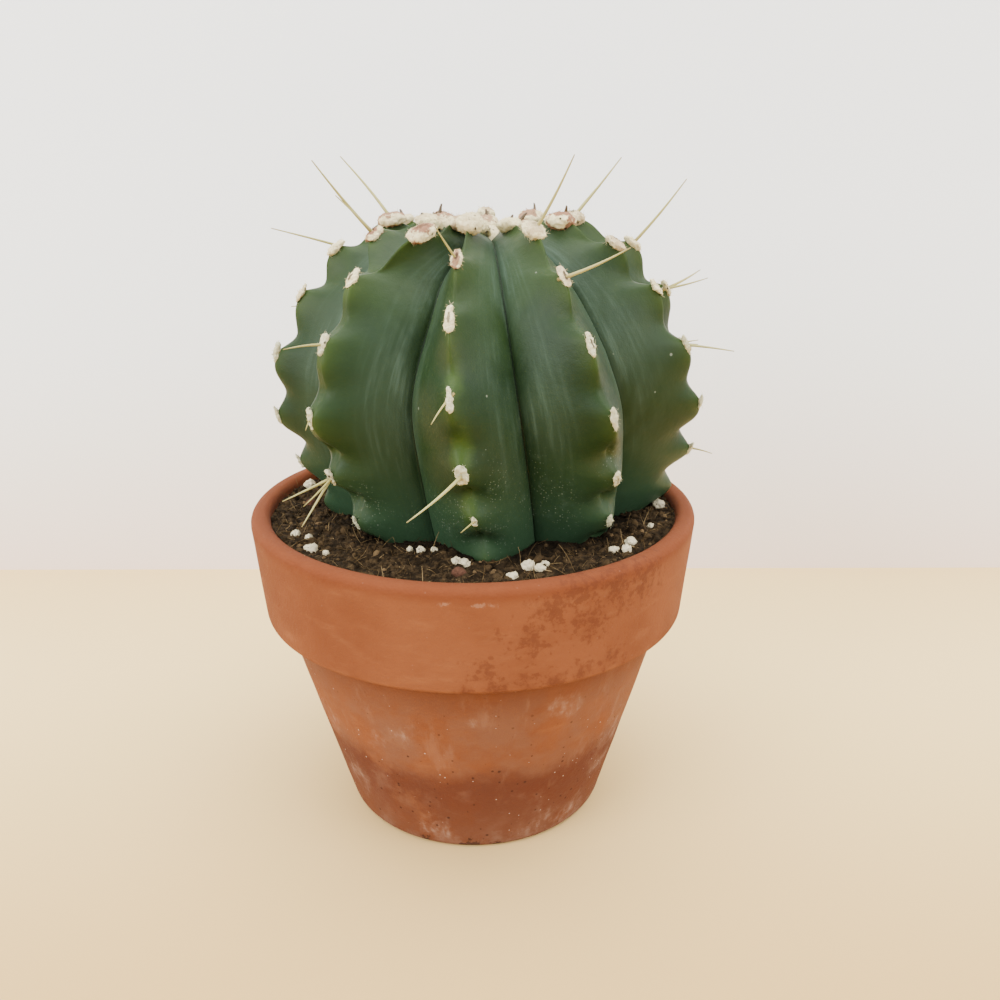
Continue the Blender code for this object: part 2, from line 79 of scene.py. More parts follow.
def addNode(kind, inputs={}, **settings):
    # Inputs are given by name or number, as a value or a wire
    tree = bench["tree"]
    node = tree.nodes.new(kind)
    count = len(tree.nodes)
    node.location = (count % 12 * 200, -(count // 12) * 240)
    for name, value in settings.items():
        setattr(node, name, value)
    for key, value in inputs.items():
        found = [s for s in node.inputs if s.enabled and s.name == key]
        socket = found[0] if found else node.inputs[key]
        if isinstance(value, Wire):
            tree.links.new(value.socket, socket)
        else:
            socket.default_value = (*value, 1) if socket.type == "RGBA" else value
    return node


def put(kind, inputs={}, output=0, **settings):
    return Wire(addNode(kind, inputs, **settings).outputs[output])


def putAll(kind, inputs={}, **settings):
    return {socket.name: Wire(socket) for socket in addNode(kind, inputs, **settings).outputs}


def isVector(value):
    if isinstance(value, Wire):
        return value.socket.type == "VECTOR"
    return isinstance(value, (tuple, Vector))


def calc(operation, *values):
    # A Math node, or a Vector Math node where a value is a vector
    if not any(isVector(value) for value in values):
        return put("ShaderNodeMath", dict(enumerate(values)), operation=operation)
    values = [(value,) * 3 if isinstance(value, (int, float)) else value for value in values]
    output = "Value" if operation == "LENGTH" else "Vector"
    return put("ShaderNodeVectorMath", dict(enumerate(values)), output, operation=operation)


def remap(value, low, high, newLow=0.0, newHigh=1.0, smooth=True):
    return put("ShaderNodeMapRange", {
        "Value": value, "From Min": low, "From Max": high, "To Min": newLow, "To Max": newHigh,
    }, "Result", interpolation_type="SMOOTHSTEP" if smooth else "LINEAR")


def joined(x=0.0, y=0.0, z=0.0):
    return put("ShaderNodeCombineXYZ", {"X": x, "Y": y, "Z": z})


def clouds(place, scale, detail, roughness=0.5):
    return put("ShaderNodeTexNoise", {
        "Vector": place, "Scale": scale, "Detail": detail, "Roughness": roughness}, "Fac")


def newTree(name, inputs, outputs={"Geometry": "Geometry"}, kind="GeometryNodeTree"):
    # Sockets by name, each with its default or its kind; gives the inputs as wires
    tree = bench["tree"] = bpy.data.node_groups.new(name, kind)
    for direction, sockets in (("INPUT", inputs), ("OUTPUT", outputs)):
        for label, value in sockets.items():
            sort = value if isinstance(value, str) else socketKinds[type(value)]
            socket = tree.interface.new_socket(label, in_out=direction, socket_type="NodeSocket" + sort)
            if sort != value:
                socket.default_value = value
    return putAll("NodeGroupInput")


def feed(node, **results):
    for name, result in results.items():
        bench["tree"].links.new(result.socket, node.inputs[name.replace("_", " ")])


def close(**results):
    # The tree on the bench, with its results at its end
    feed(addNode("NodeGroupOutput"), **results)
    return bench["tree"]


def addObject(name, data):
    thing = bpy.data.objects.new(name, data)
    bpy.context.scene.collection.objects.link(thing)
    return thing


def grow(name, tree, source, **values):
    # The tree's result on a source mesh, kept as a plain mesh
    piece = addObject(name, source)
    growth = piece.modifiers.new("growth", "NODES")
    growth.node_group = tree
    for socket in tree.interface.items_tree:
        key = socket.name.replace(" ", "")
        if socket.in_out == "INPUT" and key in values:
            growth[socket.identifier] = values[key]
    mesh = bpy.data.meshes.new_from_object(piece.evaluated_get(bpy.context.evaluated_depsgraph_get()))
    piece.modifiers.remove(growth)
    piece.data = mesh
    mesh.name = name
    return piece


def settle(piece, slot, *nodes):
    # Rides on the one body, and stands for the CAD nodes named
    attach(piece, "root")
    if nodes:
        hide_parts(*nodes)
    print(f"{piece.name}: {len(piece.data.polygons)} faces")
    return piece


def pointTable(name, rows, columns):
    # A mesh with a point for each row and an attribute for each column, for trees to read
    mesh = bpy.data.meshes.new(name)
    mesh.from_pydata([(0, 0, 0)] * len(rows), [], [])
    for number, column in enumerate(columns.split()):
        values = mesh.attributes.new(column, "FLOAT", "POINT")
        values.data.foreach_set("value", [float(row[number]) for row in rows])
    return mesh


def lineTable(name, line):
    # Stations as (radius, height) in mm, with one more past each end, mirrored in the axis
    first, last = ((-x, z) for x, z in (line[1], line[-2]))
    mesh = bpy.data.meshes.new(name)
    mesh.from_pydata([(x * mm, 0, z * mm) for x, z in (first, *line, last)], [], [])
    return mesh


def helperObject(mesh):
    return bpy.data.objects.new(mesh.name, mesh)


# Shader groups that several materials use

def shaderGroup(name, inputs, output="Mask", kind="Float"):
    return newTree(name, {"Vector": "Vector", **inputs}, {output: kind}, "ShaderNodeTree")


def mottleGroup():
    # Soft patches, where clouds rise from the low level to the high one
    given = shaderGroup("mottle", {
        "Stretch": (1.0, 1.0, 1.0), "Scale": 50.0, "Detail": 4.0, "Low": 0.4, "High": 0.6})
    mask = clouds(given["Vector"] * given["Stretch"], given["Scale"], given["Detail"], 0.6)
    return close(Mask=remap(mask, given["Low"], given["High"]))


def specksGroup():
    # Small spots of uneven size: Share is how many of the cells hold one
    given = shaderGroup("specks", {"Scale": 400.0, "Size": 0.25, "Share": 0.3})
    cells = putAll("ShaderNodeTexVoronoi", {"Vector": given["Vector"], "Scale": given["Scale"]})
    chance = cells["Color"]
    size = given["Size"] * (chance.y + 0.35)
    spot = remap(cells["Distance"], size, size * 0.5)
    return close(Mask=spot * (chance.x < given["Share"]))


def raggedGroup():
    # A level that falls across a zone's edge, made into a mask with a ragged edge
    given = shaderGroup("ragged", {"Level": 0.0, "Ragged": 0.6, "Scale": 150.0, "Softness": 0.3})
    uneven = (clouds(given["Vector"], given["Scale"], 8.0, 0.65) - 0.5) * 4.0
    level = uneven * given["Ragged"] + given["Level"]
    return close(Mask=remap(level, 0.15, given["Softness"] + 0.15))


def grainGroup():
    # Two sizes of fine relief
    given = shaderGroup("grain", {"Scale": 900.0, "Depth": 0.1 * mm, "Fine Share": 0.4}, "Normal", "Vector")
    coarse = clouds(given["Vector"], given["Scale"], 3.0)
    fine = clouds(given["Vector"], given["Scale"] * 4.0, 2.0)
    height = fine * given["Fine Share"] + coarse
    return close(Normal=put("ShaderNodeBump", {"Height": height, "Distance": given["Depth"]}, "Normal"))


def effect(group):
    # The group as a call, with its inputs by name
    return lambda place, **values: put("ShaderNodeGroup", {"Vector": place, **values}, node_tree=group)


mottle, specks, ragged, grain = (
    effect(group) for group in (mottleGroup(), specksGroup(), raggedGroup(), grainGroup()))


def newMaterial(name, colour, roughness, specular):
    # Gives the material with its tree on the bench, its shader and its Object coordinates
    material = bpy.data.materials.new(name)
    material.use_nodes = True
    material.diffuse_color = (*colour, 1)
    bench["tree"] = material.node_tree
    shader = material.node_tree.nodes["Principled BSDF"]
    looks = {"Base Color": (*colour, 1), "Roughness": roughness, "Specular IOR Level": specular}
    for label, value in looks.items():
        shader.inputs[label].default_value = value
    return material, shader, put("ShaderNodeTexCoord", output="Object")


def coated(base, *coats):
    # Coats of (colour, mask, amount) laid over the base in turn, each where its mask is 1
    for colour, mask, *amount in coats:
        mask = mask * amount[0] if amount else mask
        base = put("ShaderNodeMix", {0: mask, 6: base, 7: colour}, 2, data_type="RGBA")
    return base


def attribute(name):
    return put("ShaderNodeAttribute", output="Fac", attribute_name=name)


def spotted(place, spots, uneven, scale, softness, flatten=(1, 1, 1)):
    # A mask with a ragged edge round spots of (x, y, z, reach) in mm
    nearest = None
    for *spot, reach in spots:
        away = calc("LENGTH", (place - Vector(spot) * mm) * flatten)
        near = calc("MULTIPLY_ADD", away, -1 / (reach * mm), 1.0)
        nearest = near if nearest is None else calc("MAXIMUM", nearest, near)
    return ragged(place, Level=nearest, Ragged=uneven, Scale=scale, Softness=softness)


# Stem

stem = {
    "centre": (5.0, 6.0, 0.0),      # of the stem on the pot's axes, in mm
    # Stations of the crest and the groove as (radius, height) in mm, from the buried
    # bottom to the crown's centre
    "crestLine": (
        (0, 92), (24, 92.5), (46, 98), (56, 112), (64, 128), (72, 144.5), (75.5, 161),
        (71.5, 177), (62.5, 193), (49, 206), (32, 213), (15, 211), (0, 206),
    ),
    "grooveLine": (
        (0, 92), (20, 92.5), (36, 98), (43, 111), (47.5, 127), (51, 143), (52.5, 159),
        (49.5, 175), (42.5, 189), (32.5, 199.5), (21, 205.5), (10, 207), (0, 206),
    ),
    "soilStation": 3.0, "middleStation": 6.2, "topStation": 10.0, "crownStation": 12.0,
    # Azimuth of each crest in degrees at the top, the middle and the soil, from -Y round to +X
    "ribs": {
        "A": (-84, -80, -83), "B": (-43, -45, -46), "C": (-9, -7.4, -0.6), "D": (23, 29, 44.5),
        "E": (58, 73, 90), "F": (94, 107, 124), "G": (137, 148, 160), "H": (181, 189, 198),
        "I": (229, 234, 237),
    },
    # How far a rib's crest stands out from crestLine, in mm, at the shoulder and near the soil
    "swells": {"A": (-2.4, 2.6), "B": (-1.0, 0.0), "E": (-3.0, 8.0), "H": (-1.5, 2.0), "I": (-2.0, 0.0)},
    "shoulderShares": ((0.0, 0.0), (5.6, 0.0), (7.0, 1.0), (8.2, 0.7), (9.5, 0.0)),
    "soilShares": ((0.0, 1.0), (3.6, 1.0), (5.6, 0.0)),
    # How far the upper part of the groove after a rib leans over to the next one
    "leans": {"B": 0.14, "D": -0.03, "E": 0.04, "F": -0.05, "G": 0.06, "H": -0.04, "I": 0.05},
    "leanStations": (5.8, 8.2),
    # The stations of the areoles, and how many places further down a rib's top and bottom ones are
    "areoleStations": (11.1, 10.1, 8.85, 7.75, 6.45, 5.05, 4.0, 2.9),
    "areoleShifts": {
        "A": (0.12, -0.22), "B": (0.45, 0.50), "C": (0.0, 0.0), "D": (0.36, 0.36), "E": (0.88, 0.45),
        "F": (-0.10, 0.20), "G": (0.55, 0.65), "H": (0.05, 0.15), "I": (0.40, 0.55),
    },
    "forkedRib": "B", "forkSpread": (2.0, 34.0), "forkStations": (8.4, 9.9),
    "forkAreoles": (10.6, 9.4),
    # A power under 1 hollows the flanks, one over 1 fills them
    "flankPowers": ((3.0, 0.95), (5.0, 0.8), (7.0, 0.7), (8.5, 0.55), (10.0, 0.5)),
    "shape": {
        "Crest Rounding": 0.09, "Pinch Share": 0.07, "Pinch Power": 22.0,
        "Notch Place": 0.62, "Notch Fade": 4.5,
    },
    "notchDepths": (
        (0.0, 6.5), (4.8, 6.5), (6.0, 4.4), (7.2, 4.0), (8.4, 4.8), (10.0, 2.6), (11.0, 1.0),
    ),
    # The columns are for each rib
    "mesh": {"Columns": 34, "Rows": 210, "Row Power": 0.75, "Unevenness": 0.5 * mm},
}

crests = list(stem["ribs"])
crests.insert(crests.index(stem["forkedRib"]), "fork")

# Catmull-Rom weights of four stations in a row, by powers of the way between the middle two
curveWeights = ((-0.5, 1.0, -0.5, 0.0), (1.5, -2.5, 0.0, 1.0), (-1.5, 2.0, 0.5, 0.0), (0.5, -0.5, 0.0, 0.0))


def ribRows():
    # A row for each crest, and the first one again a full turn on
    rows = []
    for crest in crests + crests[:1]:
        rib = stem["forkedRib"] if crest == "fork" else crest
        turn = 360 if len(rows) == len(crests) else 0
        rows.append((
            *(azimuth + turn for azimuth in stem["ribs"][rib]), *stem["areoleShifts"][rib],
            *stem["swells"].get(rib, (0, 0)), stem["leans"].get(crest, 0),
            {"fork": -1, stem["forkedRib"]: 1}.get(crest, 0), crest == "fork"))
    return rows


def crestDegrees(station, top, middle, soil):
    # Parabola through a rib's azimuths at the soil, the middle and the top, for numbers and wires
    soilAt, middleAt, topAt = stem["soilStation"], stem["middleStation"], stem["topStation"]
    first = (middle - soil) / (middleAt - soilAt)
    second = (top - middle) / (topAt - middleAt)
    bend = (second - first) / (topAt - soilAt)
    return (bend * (station - middleAt) + first) * (station - soilAt) + soil


def levelCurve(value, points, base, reach):
    # Straight lines through (value, height) points, over values from 0 to the crown station
    span = stem["crownStation"]
    node = addNode("ShaderNodeFloatCurve", {"Value": value / span})
    curve = node.mapping.curves[0]
    while len(curve.points) < len(points):
        curve.points.new(0.5, 0.5)
    for point, (x, y) in zip(curve.points, points):
        point.location = (x / span, (y - base) / reach)
        point.handle_type = "VECTOR"
    node.mapping.update()
    return Wire(node.outputs[0]) * reach + base


def named(name):
    return put("GeometryNodeInputNamedAttribute", {"Name": name}, data_type="FLOAT")


def sample(geometry, value, index, kind="FLOAT"):
    return put("GeometryNodeSampleIndex", {
        "Geometry": geometry, "Value": value, "Index": index}, data_type=kind, clamp=True)


def stored(geometry, name, value, domain="POINT"):
    return put("GeometryNodeStoreNamedAttribute", {
        "Geometry": geometry, "Name": name, "Value": value}, data_type="FLOAT", domain=domain)


def moved(geometry, **way):
    return put("GeometryNodeSetPosition", {"Geometry": geometry, **way})


def ruffled(geometry, depth, waves, detail):
    # Points moved along their normals by clouds of (waves per metre, share of the depth)
    position = put("GeometryNodeInputPosition")
    normal = put("GeometryNodeInputNormal")
    offset = (0, 0, 0)
    for scale, share in waves:
        offset = normal * ((clouds(position, scale, detail) - 0.5) * share * depth) + offset
    return moved(geometry, Offset=offset)


def asMesh(geometry, material):
    solid = put("GeometryNodeRealizeInstances", {"Geometry": geometry})
    return put("GeometryNodeSetMaterial", {"Geometry": solid, "Material": material})


def pointOnLineTree():
    given = newTree("pointOnLine", {"Line": "Geometry", "Station": 0.0}, {"Point": "Vector"})
    station = calc("MAXIMUM", given["Station"], 0.0)
    station = calc("MINIMUM", station, stem["crownStation"] - 0.0001)
    whole, part = (calc(name, station) for name in ("FLOOR", "FRACT"))
    position = put("GeometryNodeInputPosition")
    total = (0, 0, 0)
    for offset, (cubic, square, linear, constant) in enumerate(curveWeights):
        weight = ((part * cubic + square) * part + linear) * part + constant
        total = sample(given["Line"], position, whole + offset, "FLOAT_VECTOR") * weight + total
    return close(Point=total)


def crestAzimuthTree():
    given = newTree("crestAzimuth", {
        "Ribs": "Geometry", "Crest": 0, "Station": 0.0, "Fork": 0.0}, {"Azimuth": "Float"})
    top, middle, soil, branch = (
        sample(given["Ribs"], named(name), given["Crest"]) for name in ("top", "middle", "soil", "branch"))
    station = calc("MAXIMUM", given["Station"], stem["soilStation"])
    station = calc("MINIMUM", station, stem["topStation"])
    low, high = stem["forkSpread"]
    half = remap(given["Fork"], 0.0, 1.0, low / 2, high / 2, smooth=False)
    return close(Azimuth=calc("RADIANS", half * branch + crestDegrees(station, top, middle, soil)))


def skinPointTree(pointOnLine, crestAzimuth):
    # A point of the skin: Phase is 0 on one crest and 1 on the next
    given = newTree("skinPoint", {
        "Ribs": "Geometry", "Crest Line": "Geometry", "Groove Line": "Geometry",
        "Crest": 0, "Phase": 0.0, "Station": 0.0, **stem["shape"],
    }, {"Place": "Vector", "Normal": "Vector", "Side": "Float", "Areole": "Float"})
    crest, phase, station = given["Crest"], given["Phase"], given["Station"]

    def ribValue(name, number):
        return sample(given["Ribs"], named(name), number)

    fork = remap(station, *stem["forkStations"])
    left, right = (
        put("GeometryNodeGroup", {
            "Ribs": given["Ribs"], "Crest": number, "Station": station, "Fork": fork,
        }, node_tree=crestAzimuth) for number in (crest, crest + 1))
    lean = ribValue("lean", crest) * calc("SINE", phase * math.pi) ** 2.0
    share = lean * remap(station, *stem["leanStations"]) + phase
    azimuth = (right - left) * share + left

    # How far the point drops from the crest line to the groove line
    side = 1.0 - calc("ABSOLUTE", phase * 2.0 - 1.0)
    side = side * (1.0 - ribValue("strip", crest) * (1.0 - fork))
    rounding, pinchShare = given["Crest Rounding"], given["Pinch Share"]
    flank, whole = (calc("LENGTH", joined(reach, rounding)) - rounding for reach in (side, 1.0))
    flank = (flank / whole) ** levelCurve(station, stem["flankPowers"], 0.0, 2.0)
    drop = flank * (1.0 - pinchShare) + side ** given["Pinch Power"] * pinchShare
    crestSpot, grooveSpot, ahead, behind = (
        put("GeometryNodeGroup", {"Line": given[line], "Station": station + step}, node_tree=pointOnLine)
        for line, step in (
            ("Crest Line", 0.0), ("Groove Line", 0.0), ("Crest Line", 0.02), ("Crest Line", -0.02)))
    run = ahead - behind
    outward = calc("NORMALIZE", joined(run.z, 0.0, -run.x))
    nearest = crest + (phase > 0.5)
    swell = 0.0
    for name, shares in (("shoulderSwell", "shoulderShares"), ("soilSwell", "soilShares")):
        swell = ribValue(name, nearest) * levelCurve(station, stem[shares], 0.0, 1.0) + swell
    spot = (grooveSpot - crestSpot) * drop + crestSpot + joined(swell * mm * (1.0 - drop))

    # Notches between the areoles, deepest just above the lower one
    shiftTop, shiftBottom = (ribValue(name, nearest) for name in ("shiftTop", "shiftBottom"))
    stations = stem["areoleStations"]
    last = len(stations) - 1
    places = [(0.0, last + 2.7), *((s, k) for k, s in reversed(list(enumerate(stations)))), (12.0, -0.9)]
    place = levelCurve(station, places, -1.0, last + 4.0)
    number = (place - shiftTop) / ((shiftBottom - shiftTop) / last + 1.0)
    warp = math.log(0.5) / calc("LOGARITHM", given["Notch Place"], math.e)
    wave = calc("COSINE", calc("FRACT", number) ** warp * math.tau)
    hollow = (wave * -0.5 + 0.5) * (number > 0.0)
    depth = levelCurve(station, stem["notchDepths"], 0.0, 8.0)
    notch = hollow * depth * (1.0 - side) ** given["Notch Fade"] * -mm
    spot = outward * notch + spot

    radial = joined(calc("SINE", azimuth), -calc("COSINE", azimuth))
    where = radial * calc("MAXIMUM", spot.x, 0.0) + joined(z=spot.z) + Vector(stem["centre"]) * mm
    normal = radial * outward.x + joined(z=outward.z)
    return close(Place=where, Normal=normal, Side=side, Areole=1.0 - hollow)


print("stem")
skinPoint = skinPointTree(pointOnLineTree(), crestAzimuthTree())
tableSockets = {"Ribs": "Object", "Crest Line": "Object", "Groove Line": "Object"}


def objectMesh(thing):
    return put("GeometryNodeObjectInfo", {"Object": thing}, "Geometry")


def onSkin(given, **where):
    # The skin at a crest, phase and station, from the tables that the tree is given
    tables = {name: objectMesh(given[name]) for name in tableSockets}
    return putAll("GeometryNodeGroup", {**tables, **where}, node_tree=skinPoint)


def ribbedStemTree():
    given = newTree("ribbedStem", {
        "Geometry": "Geometry", **tableSockets, **stem["mesh"], "Skin": "Material"})
    segments = given["Columns"] * len(crests)
    sphere = put("GeometryNodeMeshUVSphere", {"Segments": segments, "Rings": given["Rows"], "Radius": 1.0})
    at = put("GeometryNodeInputPosition")
    turn = calc("FRACT", calc("ARCTAN2", at.x, -at.y) / math.tau)
    column = calc("MODULO", calc("ROUND", turn * segments), segments)
    share = column / given["Columns"]
    crest = calc("FLOOR", share + 0.0001)
    even = calc("MAXIMUM", share - crest, 0.0)
    # Columns stand closer at the crests and in the grooves than on the flanks
    phase = calc("SINE", even * (2 * math.tau)) * (-0.5 / (2 * math.tau)) + even
    flat = calc("SQRT", at.x * at.x + at.y * at.y)
    height = calc("MAXIMUM", 1.0 - calc("ARCTAN2", flat, at.z) / math.pi, 0.0)
    station = height ** given["Row Power"] * stem["crownStation"]
    spot = onSkin(given, Crest=crest, Phase=phase, Station=station)
    geometry = sphere
    for name, value in (("ribSide", spot["Side"]), ("areoleNear", spot["Areole"]), ("station", station),
                        ("ribNumber", crest + phase)):
        geometry = stored(geometry, name, value)
    geometry = moved(geometry, Position=spot["Place"])
    # Slow swells and small dents
    geometry = ruffled(geometry, given["Unevenness"], ((38.0, 1.6), (150.0, 0.5)), 2.0)
    return close(Geometry=asMesh(geometry, given["Skin"]))


skin = {
    "top": (0.023, 0.043, 0.012), "middle": (0.0085, 0.0235, 0.0055), "foot": (0.020, 0.046, 0.022),
    "topHeights": (168 * mm, 212 * mm), "footHeights": (150 * mm, 122 * mm),
    "dark": (0.005, 0.0165, 0.0055), "wax": (0.055, 0.090, 0.062), "crest": (0.038, 0.066, 0.009),
    "olive": (0.042, 0.050, 0.022), "groove": (0.003, 0.009, 0.004), "scale": (0.22, 0.25, 0.19),
    # (x, y, z, reach) in mm of the brownish parts of the flanks
    "oliveSpots": ((-16, -58, 160, 20), (-14, -60, 140, 20), (40, -48, 145, 10), (-8, -60, 180, 12)),
    # The same for the fresh yellow-green on the front crest
    "freshSpots": ((-4, -67, 177, 12), (-2, -64, 152, 11), (0, -57, 132, 9), (-44, -48, 190, 8)),
    "fresh": (0.036, 0.066, 0.008),
    # The same for the parts with the most white scales
    "scaleSpots": (
        (-6, -50, 124, 24), (24, -45, 130, 24), (12, -55, 120, 18), (-38, -35, 128, 22), (7, -58, 140, 16),
        (4, -54, 119, 12), (45, -40, 140, 20), (-50, -20, 140, 16),
    ),
}


def skinMaterial():
    material, shader, place = newMaterial("waxySkin", skin["middle"], 0.55, 0.16)
    side, near, station, rib = (
        attribute(name) for name in ("ribSide", "areoleNear", "station", "ribNumber"))
    height = place.z
    crest = 1.0 - side
    # Blue-grey wax in upright streaks, most beside the grooves
    streaks = joined(rib * 26.0, station * 0.7, side * 2.0)
    streaks = mottle(streaks, Scale=1.0, Detail=6.0, Low=0.42, High=0.75)
    band = remap(side, 0.2, 0.65) * remap(side, 1.0, 0.965)
    broad = mottle(place, Stretch=(1, 1, 0.4), Scale=40.0, Low=0.3, High=0.6)
    wax = band * ((streaks * 0.65 + 0.35) * broad)
    wax = wax * remap(height, 125 * mm, 165 * mm, 0.12, 1.0) * remap(side, 0.6, 0.85, 0.8, 1.35)
    # Yellow-green along the crests above and below each areole
    warm = crest ** 13.0 * remap(near, 0.35, 1.0) * remap(height, 135 * mm, 180 * mm, 0.25, 1.0)
    # White scales low down, in drifts
    drifts = spotted(place, skin["scaleSpots"], 0.6, 90.0, 0.9)
    haze = mottle(place, Scale=260.0, Detail=8.0, Low=0.5, High=0.75)
    colour = coated(
        skin["middle"],
        (skin["top"], remap(height, *skin["topHeights"])),
        (skin["dark"], mottle(place, Scale=30.0, Low=0.42, High=0.7), 0.7),
        (skin["foot"], remap(height, *skin["footHeights"]), 0.85),
        (skin["olive"], spotted(place, skin["oliveSpots"], 0.25, 60.0, 0.8), 0.5),
        (skin["wax"], wax, 0.8),
        (skin["crest"], warm, 0.65),
        (skin["crest"], crest ** 9.0, 0.22),
        (skin["fresh"], spotted(place, skin["freshSpots"], 0.3, 90.0, 0.7, (2.0, 1.0, 0.8)), 0.6),
        # Painted shade: the narrow groove between the ribs is darkened
        (skin["groove"], remap(side, 0.975, 0.997), 0.75),
        (skin["scale"], specks(place, Scale=1300.0, Size=0.32, Share=0.5) * drifts, 0.5),
        (skin["wax"], haze * drifts, 0.35),
        (skin["scale"], specks(place, Scale=200.0, Size=0.11, Share=0.10), 0.6))
    feed(shader, Base_Color=colour, Roughness=wax * 0.15 + 0.48,
         Normal=grain(place, Scale=600.0, Depth=0.10 * mm))
    return material


skinTables = {
    "Ribs": helperObject(pointTable("ribTable", ribRows(), (
        "top middle soil shiftTop shiftBottom shoulderSwell soilSwell lean branch strip"))),
    "CrestLine": helperObject(lineTable("crestLineTable", stem["crestLine"])),
    "GrooveLine": helperObject(lineTable("grooveLineTable", stem["grooveLine"])),
}
ribbedStem = grow("cactusStem", ribbedStemTree(), bpy.data.meshes.new("stemSource"),
                  Skin=skinMaterial(), **skinTables)
ribbedStem.data.shade_smooth()
settle(ribbedStem, "cactus", "cactus")


# Shapes that trees repeat

def rounded(corners, pointsPerArc):
    # Corners are (radius, height, rounding) in mm; each becomes an arc
    outline = []
    for number, (x, z, size) in enumerate(corners):
        corner = Vector((x, z))
        before = (Vector(corners[number - 1][:2]) - corner).normalized()
        after = (Vector(corners[(number + 1) % len(corners)][:2]) - corner).normalized()
        half = before.angle(after) / 2
        reach = size / math.tan(half)
        centre = corner + (before + after).normalized() * size / math.sin(half)
        start = corner + before * reach - centre
        turn = (corner + after * reach - centre).angle_signed(start)
        for step in range(pointsPerArc):
            spot = centre + Matrix.Rotation(turn * step / (pointsPerArc - 1), 2) @ start
            outline.append((spot.x, spot.y))
    return outline


def stepped(outline, longest):
    # The closed outline with no step longer than this
    points = []
    for (x0, z0), (x1, z1) in zip(outline, outline[1:] + outline[:1]):
        count = max(1, math.ceil(math.hypot(x1 - x0, z1 - z0) / longest))
        points += [(x0 + (x1 - x0) * k / count, z0 + (z1 - z0) * k / count) for k in range(count)]
    return points


def turnedMesh(name, outline, steps):
    # The closed outline of (radius, height) in mm, turned about Z
    bm = bmesh.new()
    angles = [math.tau * k / steps for k in range(steps)]
    rows = [[bm.verts.new((x * mm * math.cos(a), x * mm * math.sin(a), z * mm)) for a in angles]
            for x, z in outline]
    for low, high in zip(rows, rows[1:] + rows[:1]):
        for k in range(steps):
            bm.faces.new((low[k], high[k], high[k - 1], low[k - 1]))
    bmesh.ops.remove_doubles(bm, verts=bm.verts, dist=0.001 * mm)
    bmesh.ops.recalc_face_normals(bm, faces=bm.faces)
    return finished(bm, name)


def finished(bm, name):
    mesh = bpy.data.meshes.new(name)
    bm.to_mesh(mesh)
    bm.free()
    mesh.shade_smooth()
    return mesh


def shapeObject(mesh, name, measure):
    # A helper object whose points keep a measure of their place
    values = mesh.attributes.new(name, "FLOAT", "POINT")
    values.data.foreach_set("value", [measure(vert.co) for vert in mesh.vertices])
    return helperObject(mesh)


def lumpShape(name, subdivisions, roughness, scale):
    # A lump about 1 across, with dents; each point keeps how far it is from the long middle line
    bm = bmesh.new()
    bmesh.ops.create_icosphere(bm, subdivisions=subdivisions, radius=0.5)
    for vert in bm.verts:
        dent = noise.noise(vert.co * scale) + 0.5 * noise.noise(vert.co * scale * 2.7)
        vert.co *= 1 + roughness * dent
    return shapeObject(finished(bm, name), "away", lambda co: math.hypot(co.x, co.y * 0.7))


def threadShape(name, sides, rows, tip, bend):
    # A tapered thread from the origin to a point 1 above it; radius 1 at its foot
    bm = bmesh.new()
    bmesh.ops.create_cone(bm, cap_ends=True, segments=sides, radius1=1, radius2=1, depth=1)
    upright = [edge for edge in bm.edges if abs(edge.verts[0].co.z - edge.verts[1].co.z) > 0.5]
    bmesh.ops.subdivide_edges(bm, edges=upright, cuts=rows - 1, use_grid_fill=True)
    for vert in bm.verts:
        along = vert.co.z + 0.5
        width = 1 + (tip - 1) * along ** 1.3
        vert.co = (vert.co.x * width + bend * math.sin(math.pi * along), vert.co.y * width, along)
    return shapeObject(finished(bm, name), "along", lambda co: co.z)


# Trees that repeat a shape

def randomNumber(low, high, seed):
    kind = "FLOAT_VECTOR" if isVector(low) else "FLOAT"
    return put("FunctionNodeRandomValue", {"Min": low, "Max": high, "Seed": seed}, "Value", data_type=kind)


def asRotation(euler):
    return put("FunctionNodeEulerToRotation", {"Euler": euler})


def rotated(rotation, euler):
    return put("FunctionNodeRotateRotation", {
        "Rotation": rotation, "Rotate By": asRotation(euler)}, rotation_space="LOCAL")


def instances(points, shape, scale, **turn):
    return put("GeometryNodeInstanceOnPoints", {
        "Points": points, "Instance": objectMesh(shape), "Scale": scale, **turn})


def toned(grown, seed):
    # A random tone for each instance
    return stored(grown, "tone", randomNumber(0.0, 1.0, seed), "INSTANCE")


def scatterTree():
    # A shape strewn over a surface, standing on it with Z up and tumbled by up to Tumble radians
    given = newTree("scatter", {
        "Geometry": "Geometry", "Shape": "Object", "Density": 1e5, "Seed": 1, "Smallest": 1 * mm,
        "Largest": 2 * mm, "Width": 1.0, "Tumble": 1.0, "Sink": 0.0, "Skin": "Material"})
    seed, tumble, least = given["Seed"], given["Tumble"], given["Smallest"]
    spread = putAll("GeometryNodeDistributePointsOnFaces", {
        "Mesh": given["Geometry"], "Density": given["Density"], "Seed": seed})
    # Many more of them are small than large
    size = (given["Largest"] - least) * randomNumber(0.0, 1.0, seed) ** 2.5 + least
    across = size * given["Width"]
    scale = joined(across, across * randomNumber(0.65, 1.0, seed + 1), size)
    back = -tumble
    turn = randomNumber(joined(back, back, -math.pi), joined(tumble, tumble, math.pi), seed + 2)
    points = moved(spread["Points"], Offset=spread["Normal"] * -(size * given["Sink"]))
    grown = instances(points, given["Shape"], scale, Rotation=rotated(spread["Rotation"], turn))
    return close(Geometry=asMesh(toned(grown, seed + 3), given["Skin"]))


scatter = scatterTree()


# Areoles: pads of wool along the crests

